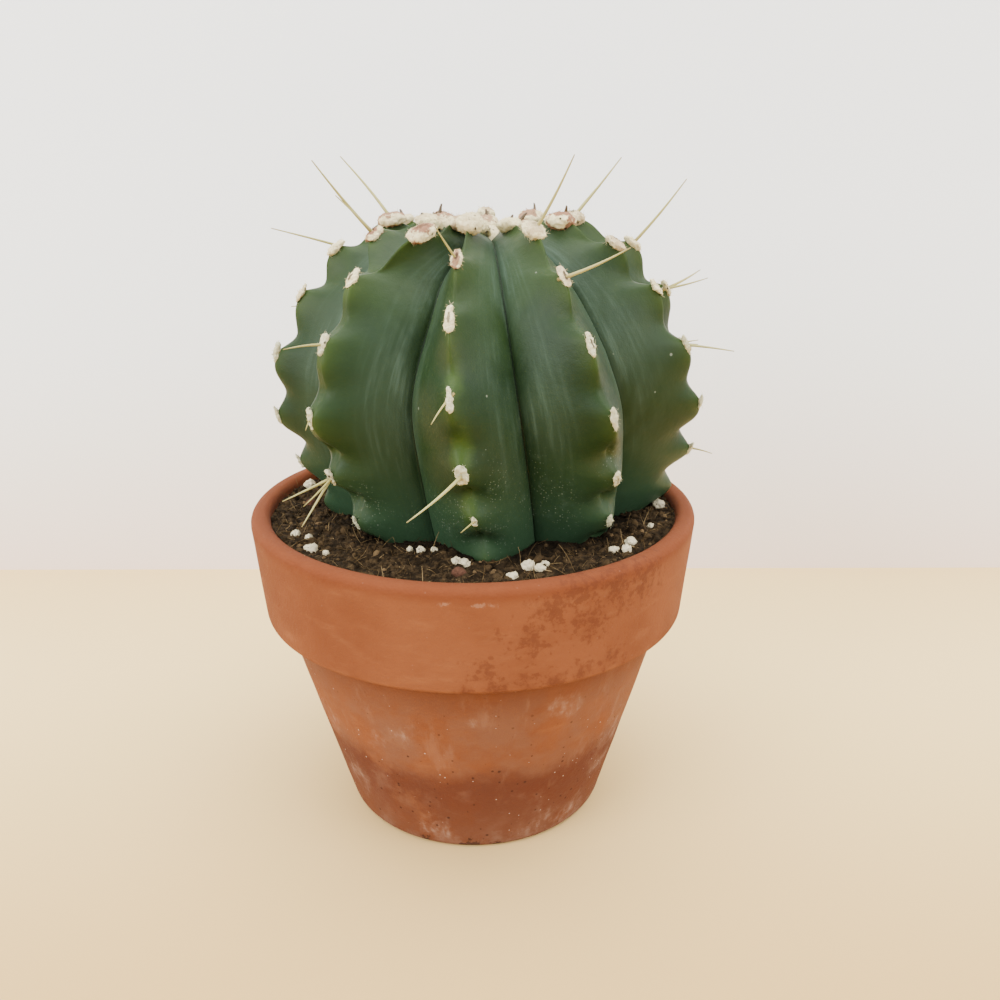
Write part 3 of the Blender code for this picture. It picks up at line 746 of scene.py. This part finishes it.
areoles = {
    # The rise is half a pad's height
    "pads": {
        "Pad Width": 3.0 * mm, "Pad Length": 8.2 * mm, "Pad Rise": 0.95 * mm,
        "Crown Radius": 15.0 * mm, "Crown Rise": 5.0 * mm, "Felt": 0.5 * mm,
    },
    # Width, length and rise by station, as shares
    "widths": ((3.0, 0.65), (7.0, 0.8), (8.5, 1.15), (9.4, 1.6), (10.0, 2.6), (11.0, 2.9)),
    "lengths": ((3.0, 0.75), (7.0, 0.85), (8.5, 0.9), (9.4, 0.95), (10.0, 1.2), (11.0, 1.2)),
    "rises": ((3.0, 0.6), (8.5, 1.1), (9.4, 1.8), (10.0, 2.6), (11.0, 2.9)),
    "lowest": 3.45,         # those below this station are buried
    # By rib, from the crown down: shares of size and width, of reddish wool, and of dark slit
    "size": {
        "A": (1, 1.1), "B": (1, 1.35), "C": (1, 1.25, 1, 1.05, 1.25, 1.1, 0.8), "D": (1, 1.15, 1, 1, 1.1),
        "E": (1.15,), "G": (1.1,),
    },
    "widening": {"C": (1, 1, 1, 1.15, 0.75, 1.5, 1), "D": (1, 1, 1, 1, 0.9, 1.2)},
    "reddish": {
        "A": (0.5, 0.9), "B": (0.6, 1), "fork": (0.3, 1), "C": (0.1, 0.2, 0.9), "D": (0, 0.4, 0.3),
        "E": (1, 0.4), "F": (0.8, 0.4), "G": (0.9,), "H": (0.8, 0.5), "I": (0.9, 0.3),
    },
    "slit": {
        "A": (0, 0, 0.6, 0, 0.6), "B": (0, 0.5, 1), "fork": (0, 1), "C": (0, 0, 1, 0.8, 0, 0.3),
        "D": (0, 0.4, 1, 1, 0, 0.7), "E": (0, 1, 0.4), "F": (0, 0.6, 0, 1), "G": (0, 1, 0.5, 0, 1),
        "H": (0, 0, 1, 0.7), "I": (0, 0.8, 0, 1, 0.4),
    },
    "wool": {
        "cream": (0.80, 0.72, 0.43), "shade": (0.42, 0.33, 0.16), "tan": (0.62, 0.52, 0.33),
        "old": (0.46, 0.47, 0.32), "red": (0.20, 0.062, 0.038), "slit": (0.040, 0.022, 0.014),
        "speck": (0.010, 0.007, 0.005),
    },
}


def areoleStations(crest):
    # The stations of a crest's areoles, from the crown down
    shiftTop, shiftBottom = stem["areoleShifts"][stem["forkedRib"] if crest == "fork" else crest]
    table = stem["areoleStations"]
    last = len(table) - 1
    stations = []
    for number in range(last + 1):
        place = number + shiftTop + (shiftBottom - shiftTop) * number / last
        below = min(max(int(place), 0), last - 1)
        stations.append(table[below] + (table[below + 1] - table[below]) * (place - below))
    if crest == "fork":
        stations = list(stem["forkAreoles"]) + [s for s in stations if s < stem["forkStations"][0]]
    return stations


def areoleSpot(crest, number):
    # Crest number, phase and station; the forked rib's lower areoles lie between its crests
    station = areoleStations(crest)[number]
    if crest == stem["forkedRib"] and station < stem["forkStations"][0]:
        return crests.index("fork"), 0.5, station
    return crests.index(crest), 0.0, station


def areoleRows():
    rows = []
    for crest in crests:
        for number, station in enumerate(areoleStations(crest)):
            own = crest != "fork" or number < len(stem["forkAreoles"])
            if own and station > areoles["lowest"]:
                looks = (areoles[name].get(crest, ())[number:number + 1] or (usual,)
                         for name, usual in (("size", 1), ("widening", 1), ("reddish", 0), ("slit", 0)))
                rows.append((*areoleSpot(crest, number), *(look[0] for look in looks)))
    return rows


def atRow(given, step=0.0):
    # The skin at each point of an areole or spine table, or a step of stations above it
    return onSkin(given, Crest=named("crest"), Phase=named("phase"), Station=named("station") + step)


def padsTree():
    given = newTree("woolPads", {
        "Geometry": "Geometry", **tableSockets, "Shape": "Object", **areoles["pads"], "Seed": 4,
        "Wool": "Material"})
    seed = given["Seed"]
    here, above = (atRow(given, step) for step in (0.0, 0.05))
    turn = put("FunctionNodeAxesToRotation", {
        "Primary Axis": here["Normal"], "Secondary Axis": above["Place"] - here["Place"],
    }, primary_axis="Z", secondary_axis="Y")
    station = named("station")
    width, length, rise = (
        levelCurve(station, areoles[name], 0.0, 3.0) for name in ("widths", "lengths", "rises"))
    scale = joined(width * given["Pad Width"], length * given["Pad Length"], rise * 2.0 * given["Pad Rise"])
    scale = scale * randomNumber((0.82, 0.85, 0.85), (1.12, 1.08, 1.1), seed)
    scale = scale * named("size") * joined(named("widening"), 1.0, 1.0)
    points = put("GeometryNodeMeshToPoints", {"Mesh": given["Geometry"], "Position": here["Place"]})
    pads = instances(points, given["Shape"], scale, Rotation=turn)

    # The cushion in the crown
    crown = Vector(stem["centre"]) + Vector((0, 0, stem["crestLine"][-1][1]))
    centre = put("GeometryNodePoints", {"Count": 1, "Position": crown * mm})
    across = given["Crown Radius"] * 2.0
    cushion = instances(centre, given["Shape"], joined(across, across, given["Crown Rise"] * 2.0))
    both = addNode("GeometryNodeJoinGeometry")
    for part in (cushion, pads):
        feed(both, Geometry=part)
    wool = put("GeometryNodeRealizeInstances", {"Geometry": toned(Wire(both.outputs[0]), seed + 1)})
    # Tufts and curls
    wool = ruffled(wool, given["Felt"], ((190.0, 3.0), (750.0, 3.6)), 3.0)
    return close(Geometry=asMesh(wool, given["Wool"]))


# Spines

spines = {
    "radius": 0.62, "tip": 0.26, "root": 2.4, "bend": 0.9,      # mm, share, mm, share of the radius
    # Spines of these lengths in mm have these shares of the radius, and young ones are swollen
    "lengths": (4.0, 26.0), "thickness": (0.6, 1.0), "youngSwell": 2.2,
    # Crest, areole from the crown down, azimuth and rise in degrees, length in mm
    "inView": (
        ("A", 1, -105, 49, 27), ("I", 2, -78, 16, 37), ("I", 4, -95, 3, 30), ("fork", 1, -60, 49, 29),
        ("fork", 1, -59, 44, 17), ("B", 3, -51, 1, 13), ("B", 4, -30, -50, 4), ("B", 5, -60, -17, 17),
        ("B", 5, -44, -31, 13), ("B", 5, -50, -50, 18), ("C", 2, -42, 48, 13), ("C", 4, -48, -42, 9),
        ("C", 5, -36, -16, 26), ("C", 6, -45, -20, 6), ("D", 1, 43, 54, 27), ("D", 2, 50, 23, 24),
        ("E", 3, 60, -2, 19), ("E", 5, 72, -8, 19), ("F", 1, 82, 51, 25), ("F", 1, 138, 35, 22),
        ("F", 2, 100, 49, 28),
    ),
    # Young spines that only just stand out of the crown's wool, the same way
    "young": (
        ("A", 0, -80, 60, 5.0), ("I", 0, -40, 80, 5.5), ("I", 1, -60, 70, 4.5), ("H", 0, 180, 70, 5.0),
        ("E", 0, 60, 65, 5.2), ("F", 0, 80, 70, 5.4), ("G", 0, 140, 65, 5.4), ("C", 0, -8, 60, 4.4),
        ("fork", 0, -60, 50, 4.0), ("D", 0, 25, 55, 4.0),
    ),
    # The ribs that turn away, and length in mm and rise in degrees by areole
    "backRibs": ("F", "G", "H", "I"),
    "back": (None, None, (22, -4), (24, 4), (20, 8), (20, -6), (18, -16), (14, -22)),
    "backSpread": 48.0, "backTilt": 12.0, "backShares": (0.75, 1.15), "backCounts": (1, 2, 2),
    "backSeed": 11,
    "horn": {
        "straw": (0.30, 0.27, 0.085), "pale": (0.42, 0.40, 0.18), "foot": (0.16, 0.095, 0.025),
        "tip": (0.13, 0.08, 0.03), "young": (0.045, 0.022, 0.018),
    },
}


def spineRows():
    rows = [(*areoleSpot(crest, number), *way, 0) for crest, number, *way in spines["inView"]]
    rows += [(*areoleSpot(crest, number), *way, 1) for crest, number, *way in spines["young"]]
    seen = {(crest, number) for crest, number, *_ in spines["inView"]}
    draw = random.Random(spines["backSeed"])
    for crest in spines["backRibs"]:
        for number, station in enumerate(areoleStations(crest)):
            if (crest, number) in seen or not spines["back"][number] or station <= areoles["lowest"]:
                continue
            length, rise = spines["back"][number]
            middle = crestDegrees(
                min(max(station, stem["soilStation"]), stem["topStation"]), *stem["ribs"][crest])
            for _ in range(draw.choice(spines["backCounts"])):
                azimuth = middle + draw.uniform(-spines["backSpread"], spines["backSpread"])
                tilt = draw.uniform(-spines["backTilt"], spines["backTilt"])
                share = draw.uniform(*spines["backShares"])
                rows.append((*areoleSpot(crest, number), azimuth, rise + tilt, length * share, 0))
    return rows


def spinesTree():
    given = newTree("spines", {
        "Geometry": "Geometry", **tableSockets, "Shape": "Object", "Radius": spines["radius"] * mm,
        "Root": spines["root"] * mm, "Low Corner": "Vector", "High Corner": "Vector", "Seed": 6,
        "Horn": "Material"})
    seed, root = given["Seed"], given["Root"]
    here = atRow(given)["Place"]
    azimuth, rise = (calc("RADIANS", named(name)) for name in ("azimuth", "rise"))
    flat = calc("COSINE", rise)
    way = joined(calc("SINE", azimuth) * flat, calc("COSINE", azimuth) * -flat, calc("SINE", rise))
    # No tip passes the box's corners
    length = named("length") * mm
    for axis in "xyz":
        spot, run, low, high = (getattr(vector, axis) for vector in (
            here, way, given["Low Corner"], given["High Corner"]))
        limit = put("ShaderNodeMix", {0: run > 0.0, 2: low, 3: high})
        length = calc("MINIMUM", length, (limit - spot) / run)
    points = put("GeometryNodeMeshToPoints", {"Mesh": given["Geometry"], "Position": way * -root + here})
    aim = put("FunctionNodeAlignRotationToVector", {"Vector": way}, axis="Z")
    aim = rotated(aim, randomNumber((0, 0, -math.pi), (0, 0, math.pi), seed))
    limits = (reach * mm for reach in spines["lengths"])
    thickness = given["Radius"] * remap(length, *limits, *spines["thickness"], smooth=False)
    thickness = thickness * (named("young") * spines["youngSwell"] + 1.0)
    grown = instances(points, given["Shape"], joined(thickness, thickness, length + root), Rotation=aim)
    return close(Geometry=asMesh(toned(grown, seed + 1), given["Horn"]))


def woolMaterial():
    material, shader, place = newMaterial("areoleWool", (0.70, 0.62, 0.36), 0.95, 0.1)
    wool = areoles["wool"]
    away = attribute("away")
    patch = ragged(place, Level=remap(away, 0.52, 0.1), Ragged=1.0, Scale=260.0, Softness=0.35)
    slit = ragged(place, Level=remap(away, 0.24, 0.0), Ragged=0.3, Scale=700.0, Softness=0.3)
    colour = coated(
        wool["cream"],
        (wool["shade"], mottle(place, Scale=800.0, Low=0.42, High=0.75), 0.6),
        (wool["tan"], attribute("tone"), 0.5),
        # The old areoles low on the ribs are paler and greyer
        (wool["old"], remap(place.z, 195 * mm, 175 * mm), 0.75),
        # The young ones in the crown are reddish in patches
        (wool["red"], patch * attribute("reddish"), 0.85),
        # A dark slit where the spines stood
        (wool["slit"], slit * attribute("slit"), 0.85),
        (wool["speck"], specks(place, Scale=560.0, Size=0.40, Share=0.12), 0.9))
    feed(shader, Base_Color=colour, Normal=grain(place, Scale=1500.0, Depth=0.4 * mm))
    return material


def hornMaterial():
    material, shader, _ = newMaterial("spineHorn", (0.40, 0.32, 0.12), 0.5, 0.3)
    horn = spines["horn"]
    along = attribute("along")
    feed(shader, Base_Color=coated(
        horn["straw"],
        (horn["pale"], remap(attribute("tone"), 0.3, 1.0), 0.6),
        (horn["foot"], remap(along, 0.3, 0.0), 0.6),
        (horn["tip"], remap(along, 0.85, 1.0), 0.5),
        (horn["young"], attribute("young"), 0.9)))
    return material


print("areoles and spines")
wool = woolMaterial()
woolPads = settle(grow("woolPads", padsTree(), pointTable(
    "areoleTable", areoleRows(), "crest phase station size widening reddish slit"),
    Shape=lumpShape("feltLump", 4, 0.10, 2.6), Wool=wool, **skinTables), "cactus")
settle(grow("woolHairs", scatter, woolPads.data.copy(), Shape=threadShape("hair", 3, 2, 0.3, 4.0),
            Density=1.9e6, Seed=8, Smallest=0.5 * mm, Largest=2.0 * mm, Width=0.045, Tumble=1.2,
            Sink=0.3, Skin=wool), "cactus")
lowCorner, highCorner = (Vector(corner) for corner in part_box("cactus"))
margin = Vector((1, 1, 1)) * 0.6 * mm
settle(grow("cactusSpines", spinesTree(), pointTable(
    "spineTable", spineRows(), "crest phase station azimuth rise length young"),
    Shape=threadShape("spine", 8, 12, spines["tip"], spines["bend"]), Horn=hornMaterial(),
    LowCorner=lowCorner + margin, HighCorner=highCorner - margin, **skinTables), "cactus")


# Clay pot

pot = {
    # The outline as (radius, height, rounding) in mm, down the outside and up the inside
    "outline": (
        (79.85, 115.4, 2.8), (76.4, 78.6, 1.7), (70.5, 78.6, 1.2), (48.8, 0.0, 3.4), (9.0, 0.0, 1.0),
        (9.0, 7.0, 1.0), (41.8, 7.0, 3.0), (63.5, 73.6, 4.0), (69.5, 83.6, 4.0), (73.1, 115.4, 2.8),
    ),
    "steps": 256, "pointsPerArc": 7, "longestStep": 2.6,
    # mm, waves per metre along X, Y and Z, and the share of the fine ones
    "unevenness": 0.125, "waves": (14, 14, 60), "fineWaves": 90, "fineShare": 0.4,
}

clay = {
    "plain": (0.188, 0.062, 0.024), "dark": (0.140, 0.041, 0.015), "faded": (0.27, 0.105, 0.042),
    "lip": (0.125, 0.030, 0.009), "stain": (0.105, 0.031, 0.012), "dab": (0.080, 0.022, 0.010),
    "body": (0.165, 0.075, 0.045), "underBand": (0.105, 0.032, 0.014), "wet": (0.085, 0.024, 0.013),
    "drying": (0.160, 0.072, 0.046), "bloom": (0.36, 0.23, 0.17), "splash": (0.36, 0.20, 0.13),
    "footLime": (0.21, 0.115, 0.08), "run": (0.30, 0.16, 0.10), "whiteGrain": (0.55, 0.40, 0.32),
    "darkGrain": (0.022, 0.010, 0.006), "seam": (0.080, 0.022, 0.008),
    # (x, y, z, reach) in mm: brown stains on the band, pale patches of lime (those on the body's left edge
    # are also painted edge light) and splashes of lime, clean clay, dirt
    "brown": (
        (19, -76, 98, 8), (25, -75, 106, 8), (5, -77, 87, 6), (-2, -77, 79.5, 4), (8, -76, 80, 6),
        (17, -75, 80.5, 6), (26, -72, 81, 6), (35, -69, 82, 6), (44, -63, 84, 6), (33, -71, 110, 9),
        (44, -65, 109, 10), (55, -57, 109, 10), (36, -69, 100, 9),
    ),
    "pale": (
        (-22, -59, 52, 9), (-33, -52, 46, 6), (46, -31, 24, 11), (49, -34, 39, 12), (33, -37, 3, 14),
        (-12, -50, 8, 10), (-62, -24, 62, 10), (52, -28, 33, 9), (-14, -62, 66, 3), (0, -65, 62, 3),
        (30, -60, 64, 9), (-58, -38, 70, 8), (25, -45, 10, 12), (-44, -30, 24, 15), (-50, -36, 44, 10),
    ),
    "splashes": ((6, -79, 110, 3.0), (-7, -79, 110.5, 2.1), (3, -79, 110, 2.1)),
    "clean": ((-21, -50, 21, 10), (-25, -47, 27, 8), (-31, -47, 38, 10), (-18, -50, 14, 7)),
    "dirt": ((-1, -49, 1, 4.0), (-17, -46, 1, 3.0), (8, -48, 1, 2.5)),
    # Upper edge and depth of the blur below it in mm: damp clay, and lime round the foot
    "damp": (44.0, 12.0), "crust": (7.0, 7.0),
}


def potMaterial():
    material, shader, place = newMaterial("terracotta", (0.21, 0.070, 0.022), 0.9, 0.15)
    height = place.z

    def at(name, *look):
        return spotted(place, clay[name], *look)

    def below(name, uneven, scale, softness):
        edge, blur = clay[name]
        level = (edge * mm - height) / (blur * mm)
        return ragged(place, Level=level, Ragged=uneven, Scale=scale, Softness=softness)

    def between(low, full, high, end):
        return remap(height, low * mm, full * mm) * remap(height, end * mm, high * mm)

    grey = remap(height, 80 * mm, 70 * mm) * mottle(place, Scale=48.0, Detail=8.0, Low=0.35, High=0.62)
    # The body's lower half is damp, with a soft, ragged upper edge
    damp = below("damp", 0.55, 38.0, 0.9) * (1.0 - at("clean", 0.9, 120.0, 1.2) * 0.75)
    damp = damp * remap(height, 0.0, 30 * mm, 0.55, 1.0)
    cloudy = mottle(place, Scale=75.0, Detail=8.0, Low=0.5, High=0.72)
    powder = mottle(place, Stretch=(1, 1, 0.45), Scale=420.0, Detail=8.0, Low=0.42, High=0.68)
    runs = mottle(place, Stretch=(1, 1, 0.18), Scale=140.0, Low=0.56, High=0.72)
    # Most of the loose grains lie low down
    low = remap(height, 85 * mm, 40 * mm, 0.08, 1.0)
    white = specks(place, Scale=640.0, Size=0.19, Share=0.10) * low
    dark = specks(place, Scale=460.0, Size=0.25, Share=0.16) * low
    colour = coated(
        clay["plain"],
        (clay["dark"], mottle(place, Scale=26.0, Low=0.35, High=0.7), 0.8),
        (clay["faded"], mottle(place, Stretch=(1, 1, 3), Scale=70.0, Low=0.5, High=0.8), 0.35),
        (clay["lip"], remap(height, 109 * mm, 114 * mm), 0.75),
        # Water stains on the band: broad and faint, with a fringe of small dabs
        (clay["stain"], at("brown", 0.7, 110.0, 1.3), 0.5),
        (clay["dab"], at("brown", 1.7, 420.0, 0.85), 0.46),
        (clay["body"], grey, 0.7),
        # Painted shadow under the band's overhang, together with a real stain there
        (clay["underBand"], between(58, 74, 78, 80), 0.6),
        (clay["wet"], damp, 0.85),
        (clay["drying"], cloudy * damp, 0.6),
        # Pale lime patches; those on the body's left edge are also painted edge light
        (clay["bloom"], at("pale", 0.8, 120.0, 1.4) * (powder * 0.75 + 0.25), 0.75),
        (clay["splash"], at("splashes", 1.2, 420.0, 0.8, (1, 1, 2.4)), 0.35),
        (clay["footLime"], below("crust", 0.9, 110.0, 0.8), 0.45),
        # Lime in streaks that run down from the band
        (clay["run"], runs * between(12, 45, 66, 79), 0.22),
        (clay["whiteGrain"], white, 0.7),
        (clay["darkGrain"], calc("MAXIMUM", dark, at("dirt", 1.4, 420.0, 0.5)), 0.75),
        # Painted shade: a dark line in the crease under the band
        (clay["seam"], between(74, 77, 78, 80), 0.5))
    feed(shader, Base_Color=colour, Normal=grain(place, Scale=800.0, Depth=0.22 * mm))
    return material


def makePot():
    outline = stepped(rounded(pot["outline"], pot["pointsPerArc"]), pot["longestStep"])
    mesh = turnedMesh("clayPot", outline, pot["steps"])
    for vert in mesh.vertices:
        # The foot stays flat
        if vert.co.z > 1 * mm:
            flat = Vector((vert.co.x, vert.co.y, 0)).normalized()
            ripple = noise.noise(vert.co * Vector(pot["waves"]))
            ripple += pot["fineShare"] * noise.noise(vert.co * pot["fineWaves"])
            vert.co += flat * (ripple - 1.0) * pot["unevenness"] * mm
    mesh.materials.append(potMaterial())
    settle(addObject("clayPot", mesh), "pot", "pot")


print("pot")
makePot()


# Potting soil

soil = {
    "level": 111.8, "swell": 1.6, "waves": 42.0,        # mm, mm, waves per metre
    "crumble": 1.1, "crumbleWaves": 170.0,
    "outline": ((72.6, 108.0), (69.4, 84.0), (63.4, 73.8), (42.0, 10.0), (39.0, 7.1)),
    "rings": 60, "steps": 220, "bareRadius": 34.0, "dampReach": 66.0,
    # Shape, grains per square metre, seed, sizes in mm, width, tumble, sink and material
    "strewn": {
        "soilCrumbs": ("grain", 4.2e5, 21, (0.5, 2.0), 1.0, 3.0, 0.1, "peat"),
        "soilClods": ("clod", 5.5e4, 31, (1.6, 4.2), 1.0, 3.0, 0.15, "peat"),
        "soilFibres": ("fibre", 9.0e4, 41, (2.0, 8.0), 0.022, 1.5, 0.0, "straw"),
    },
    # Azimuth in degrees, distance from the pot's axis and size in mm
    "stonePlaces": {"perlite": (
        (-67, 65.7, 2.6), (-62, 62.4, 2.2), (-54, 65.2, 3.6), (-47, 64.3, 1.6), (-25, 47.0, 1.7),
        (-20, 47.5, 2.2), (-15, 46.0, 1.8), (-5, 52.0, 3.0), (-2, 53.5, 2.8), (12, 62.9, 3.2),
        (18, 58.4, 3.4), (21, 60.6, 2.6), (24, 57.5, 2.2), (49, 62.0, 2.6), (50, 65.8, 2.6),
        (56, 63.5, 3.2), (-118, 67.5, 2.4), (71, 65.0, 1.8), (97, 69.0, 1.8),
    ), "clayPebbles": ((-3, 61.4, 3.4), (-95, 61.0, 2.6), (150, 66.0, 3.0))},
    # Start of the names, roughness and dents of the shape, seed, colour and shadow
    "stones": {
        "perlite": ("perlite", 0.28, 3.2, 3, (0.60, 0.53, 0.36), (0.30, 0.24, 0.14)),
        "clayPebbles": ("pebble", 0.16, 2.0, 7, (0.085, 0.038, 0.023), (0.040, 0.018, 0.011)),
    },
    # Name, dark and pale colour
    "earths": {
        "peat": ("peat", (0.012, 0.0075, 0.0035), (0.060, 0.038, 0.018)),
        "straw": ("peatFibre", (0.07, 0.042, 0.016), (0.26, 0.18, 0.085)),
    },
    "backLumps": 9, "backAzimuths": (85, 260), "backDistances": (67, 69), "backSizes": (1.8, 3.4),
    "seed": 5,
}


def ground(x, y):
    # Height of the surface in metres
    flat = Vector((x, y, 0))
    slow = noise.noise(flat * soil["waves"])
    crumbs = noise.fractal(flat * soil["crumbleWaves"], 0.7, 2.1, 4)
    return (soil["level"] + soil["swell"] * slow + soil["crumble"] * crumbs) * mm


def soilMesh():
    # The surface runs out to the pot's wall, and the rest fills the pot
    reach, edge = soil["outline"][0]
    surface = [(reach * k / soil["rings"], soil["level"]) for k in range(soil["rings"] + 1)]
    outline = surface + list(soil["outline"]) + [(0, soil["outline"][-1][1])]
    mesh = turnedMesh("pottingSoil", outline, soil["steps"])
    for vert in mesh.vertices:
        if vert.co.z > (edge + 1) * mm:
            vert.co.z = ground(vert.co.x, vert.co.y)
    return mesh


def surfaceMesh(mesh):
    # Only the open ground round the stem
    bm = bmesh.new()
    bm.from_mesh(mesh)
    centre = Vector(stem["centre"]).xy * mm
    hidden = []
    for face in bm.faces:
        middle = face.calc_center_median()
        under = (middle.xy - centre).length < soil["bareRadius"] * mm
        if under or face.normal.z < 0.3 or middle.z < soil["outline"][0][1] * mm:
            hidden.append(face)
    bmesh.ops.delete(bm, geom=hidden, context="FACES")
    return finished(bm, "openGround")


def lumpTable(name, rows):
    # A point for each (azimuth, distance, size) on the ground
    mesh = pointTable(name, rows, "azimuth distance size")
    for vert, (azimuth, distance, size) in zip(mesh.vertices, rows):
        angle = math.radians(azimuth)
        x, y = math.sin(angle) * distance * mm, -math.cos(angle) * distance * mm
        vert.co = (x, y, ground(x, y) + 0.1 * size * mm)
    return mesh


def lumpsTree():
    given = newTree("lumps", {
        "Geometry": "Geometry", "Shape": "Object", "Growth": 1.35 * mm, "Seed": 3, "Stone": "Material"})
    seed = given["Seed"]
    scale = randomNumber((0.9, 0.8, 0.8), (1.2, 1.05, 0.95), seed) * (named("size") * given["Growth"])
    turn = randomNumber((-0.5, -0.5, -math.pi), (0.5, 0.5, math.pi), seed + 1)
    points = put("GeometryNodeMeshToPoints", {"Mesh": given["Geometry"]})
    grown = instances(points, given["Shape"], scale, Rotation=asRotation(turn))
    return close(Geometry=asMesh(toned(grown, seed + 2), given["Stone"]))


def peatMaterial(name, dark, pale):
    material, shader, place = newMaterial(name, dark, 0.95, 0.08)
    tone = attribute("tone")
    foot = [(*stem["centre"][:2], soil["level"], soil["dampReach"])]
    colour = coated(
        dark,
        (pale, mottle(place, Scale=350.0, Low=0.4, High=0.75)),
        (pale, remap(tone, 0.55, 1.0), 0.8),
        ([2.4 * part for part in pale], remap(tone, 0.94, 0.98), 0.8),
        # Darker close to the stem: damp soil, and painted shade under the stem
        ([0.3 * part for part in dark], spotted(place, foot, 0.1, 120.0, 0.08), 0.75))
    feed(shader, Base_Color=colour, Normal=grain(place, Scale=1400.0, Depth=0.4 * mm))
    return material


def stoneMaterial(name, colour, shadow):
    material, shader, place = newMaterial(name, colour, 0.9, 0.1)
    mixed = coated(
        colour,
        (shadow, mottle(place, Scale=900.0, Low=0.5, High=0.75), 0.7),
        ([0.2 * part for part in shadow], specks(place, Scale=900.0, Size=0.35, Share=0.14), 0.8))
    feed(shader, Base_Color=mixed, Normal=grain(place, Scale=1800.0, Depth=0.3 * mm))
    return material


def makeSoil():
    mesh = soilMesh()
    earths = {name: peatMaterial(*look) for name, look in soil["earths"].items()}
    mesh.materials.append(earths["peat"])
    settle(addObject("pottingSoil", mesh), "soil", "soil")
    openGround = surfaceMesh(mesh)
    shapes = {
        "grain": lumpShape("grainLump", 1, 0.35, 1.7), "clod": lumpShape("clodLump", 2, 0.35, 2.1),
        "fibre": threadShape("fibre", 3, 4, 0.5, 3.0),
    }
    for name, (shape, density, seed, sizes, width, tumble, sink, earth) in soil["strewn"].items():
        settle(grow(name, scatter, openGround.copy(), Shape=shapes[shape], Density=density, Seed=seed,
                    Smallest=sizes[0] * mm, Largest=sizes[1] * mm, Width=width, Tumble=tumble,
                    Sink=sink, Skin=earths[earth]), "soil")
    draw = random.Random(soil["seed"])
    back = tuple((draw.uniform(*soil["backAzimuths"]), draw.uniform(*soil["backDistances"]),
                  draw.uniform(*soil["backSizes"])) for _ in range(soil["backLumps"]))
    lumps = lumpsTree()
    for name, (label, roughness, dents, seed, *colours) in soil["stones"].items():
        places = soil["stonePlaces"][name] + (back if name == "perlite" else ())
        settle(grow(name, lumps, lumpTable(label + "Table", places), Seed=seed,
                    Shape=lumpShape(label + "Lump", 4, roughness, dents),
                    Stone=stoneMaterial(label + "Stone", *colours)), "soil")


print("soil")
makeSoil()


# Camera, floor and light

studio = {
    "cameraPlace": (0.00767, -0.32667, 0.22976), "cameraTurn": (70.58, 0.0, -0.332), "lens": 34.06,
    "reach": 3.0, "wallPlace": 0.20, "wallTop": 2.5,
    # Colour, the one that it turns to, along which axis, and where that begins and ends
    # The floor turns darker towards the camera: painted shade
    "floor": ((0.80, 0.59, 0.27), (0.56, 0.36, 0.13), "y", (0.10, -0.16)),
    "wall": ((0.90, 0.95, 1.0), (0.84, 0.69, 0.61), "z", (0.16, -0.05)),
    "skyColour": (0.96, 0.98, 1.0), "skyStrength": 1.9,
    # Place, target, size in metres, watts and colour
    "lights": {
        "ceiling": ((0.05, 0.05, 1.1), (0, 0, 0.1), 1.3, 28.0, (1.0, 0.99, 0.97)),
        "window": ((-0.75, -0.6, 0.55), (0, 0, 0.12), 0.7, 14.0, (1.0, 0.98, 0.95)),
        "doorway": ((0.85, -0.45, 0.55), (0, 0, 0.12), 0.7, 9.0, (1.0, 0.97, 0.93)),
    },
}


def addCamera():
    lens = bpy.data.cameras.new("camera")
    lens.lens = studio["lens"]
    lens.clip_start = 0.01
    camera = addObject("camera", lens)
    camera.location = studio["cameraPlace"]
    camera.rotation_euler = [math.radians(angle) for angle in studio["cameraTurn"]]
    bpy.context.scene.camera = camera


def addSheet(name, corners):
    colour, other, axis, limits = studio[name]
    mesh = bpy.data.meshes.new(name)
    mesh.from_pydata(corners, [], [(0, 1, 2, 3)])
    material, shader, place = newMaterial(name, colour, 0.9, 0.1)
    feed(shader, Base_Color=coated(colour, (other, remap(getattr(place, axis), *limits))))
    mesh.materials.append(material)
    addObject(name, mesh)
    return material.node_tree, shader


def addLight(name, place, target, size, power, colour):
    light = bpy.data.lights.new(name, "AREA")
    light.shape = "DISK"
    light.size = size
    light.energy = power
    light.color = colour
    lamp = addObject(name, light)
    lamp.location = place
    lamp.rotation_euler = (Vector(target) - Vector(place)).to_track_quat("-Z", "Y").to_euler()


def addStudio():
    reach, y, top = studio["reach"], studio["wallPlace"], studio["wallTop"]
    addSheet("floor", [(-reach, -reach, 0), (reach, -reach, 0), (reach, reach, 0), (-reach, reach, 0)])
    tree, shader = addSheet("wall", [(-reach, y, 0), (reach, y, 0), (reach, y, top), (-reach, y, top)])
    # The wall shows from the front only
    back = put("ShaderNodeNewGeometry", output="Backfacing")
    clear = put("ShaderNodeBsdfTransparent")
    pick = put("ShaderNodeMixShader", {0: back, 1: Wire(shader.outputs[0]), 2: clear})
    feed(next(node for node in tree.nodes if node.type == "OUTPUT_MATERIAL"), Surface=pick)
    world = bpy.data.worlds.new("softSky")
    world.use_nodes = True
    sky = world.node_tree.nodes["Background"]
    sky.inputs["Color"].default_value = (*studio["skyColour"], 1)
    sky.inputs["Strength"].default_value = studio["skyStrength"]
    bpy.context.scene.world = world
    for name, settings in studio["lights"].items():
        addLight(name, *settings)


print("studio")
addCamera()
addStudio()
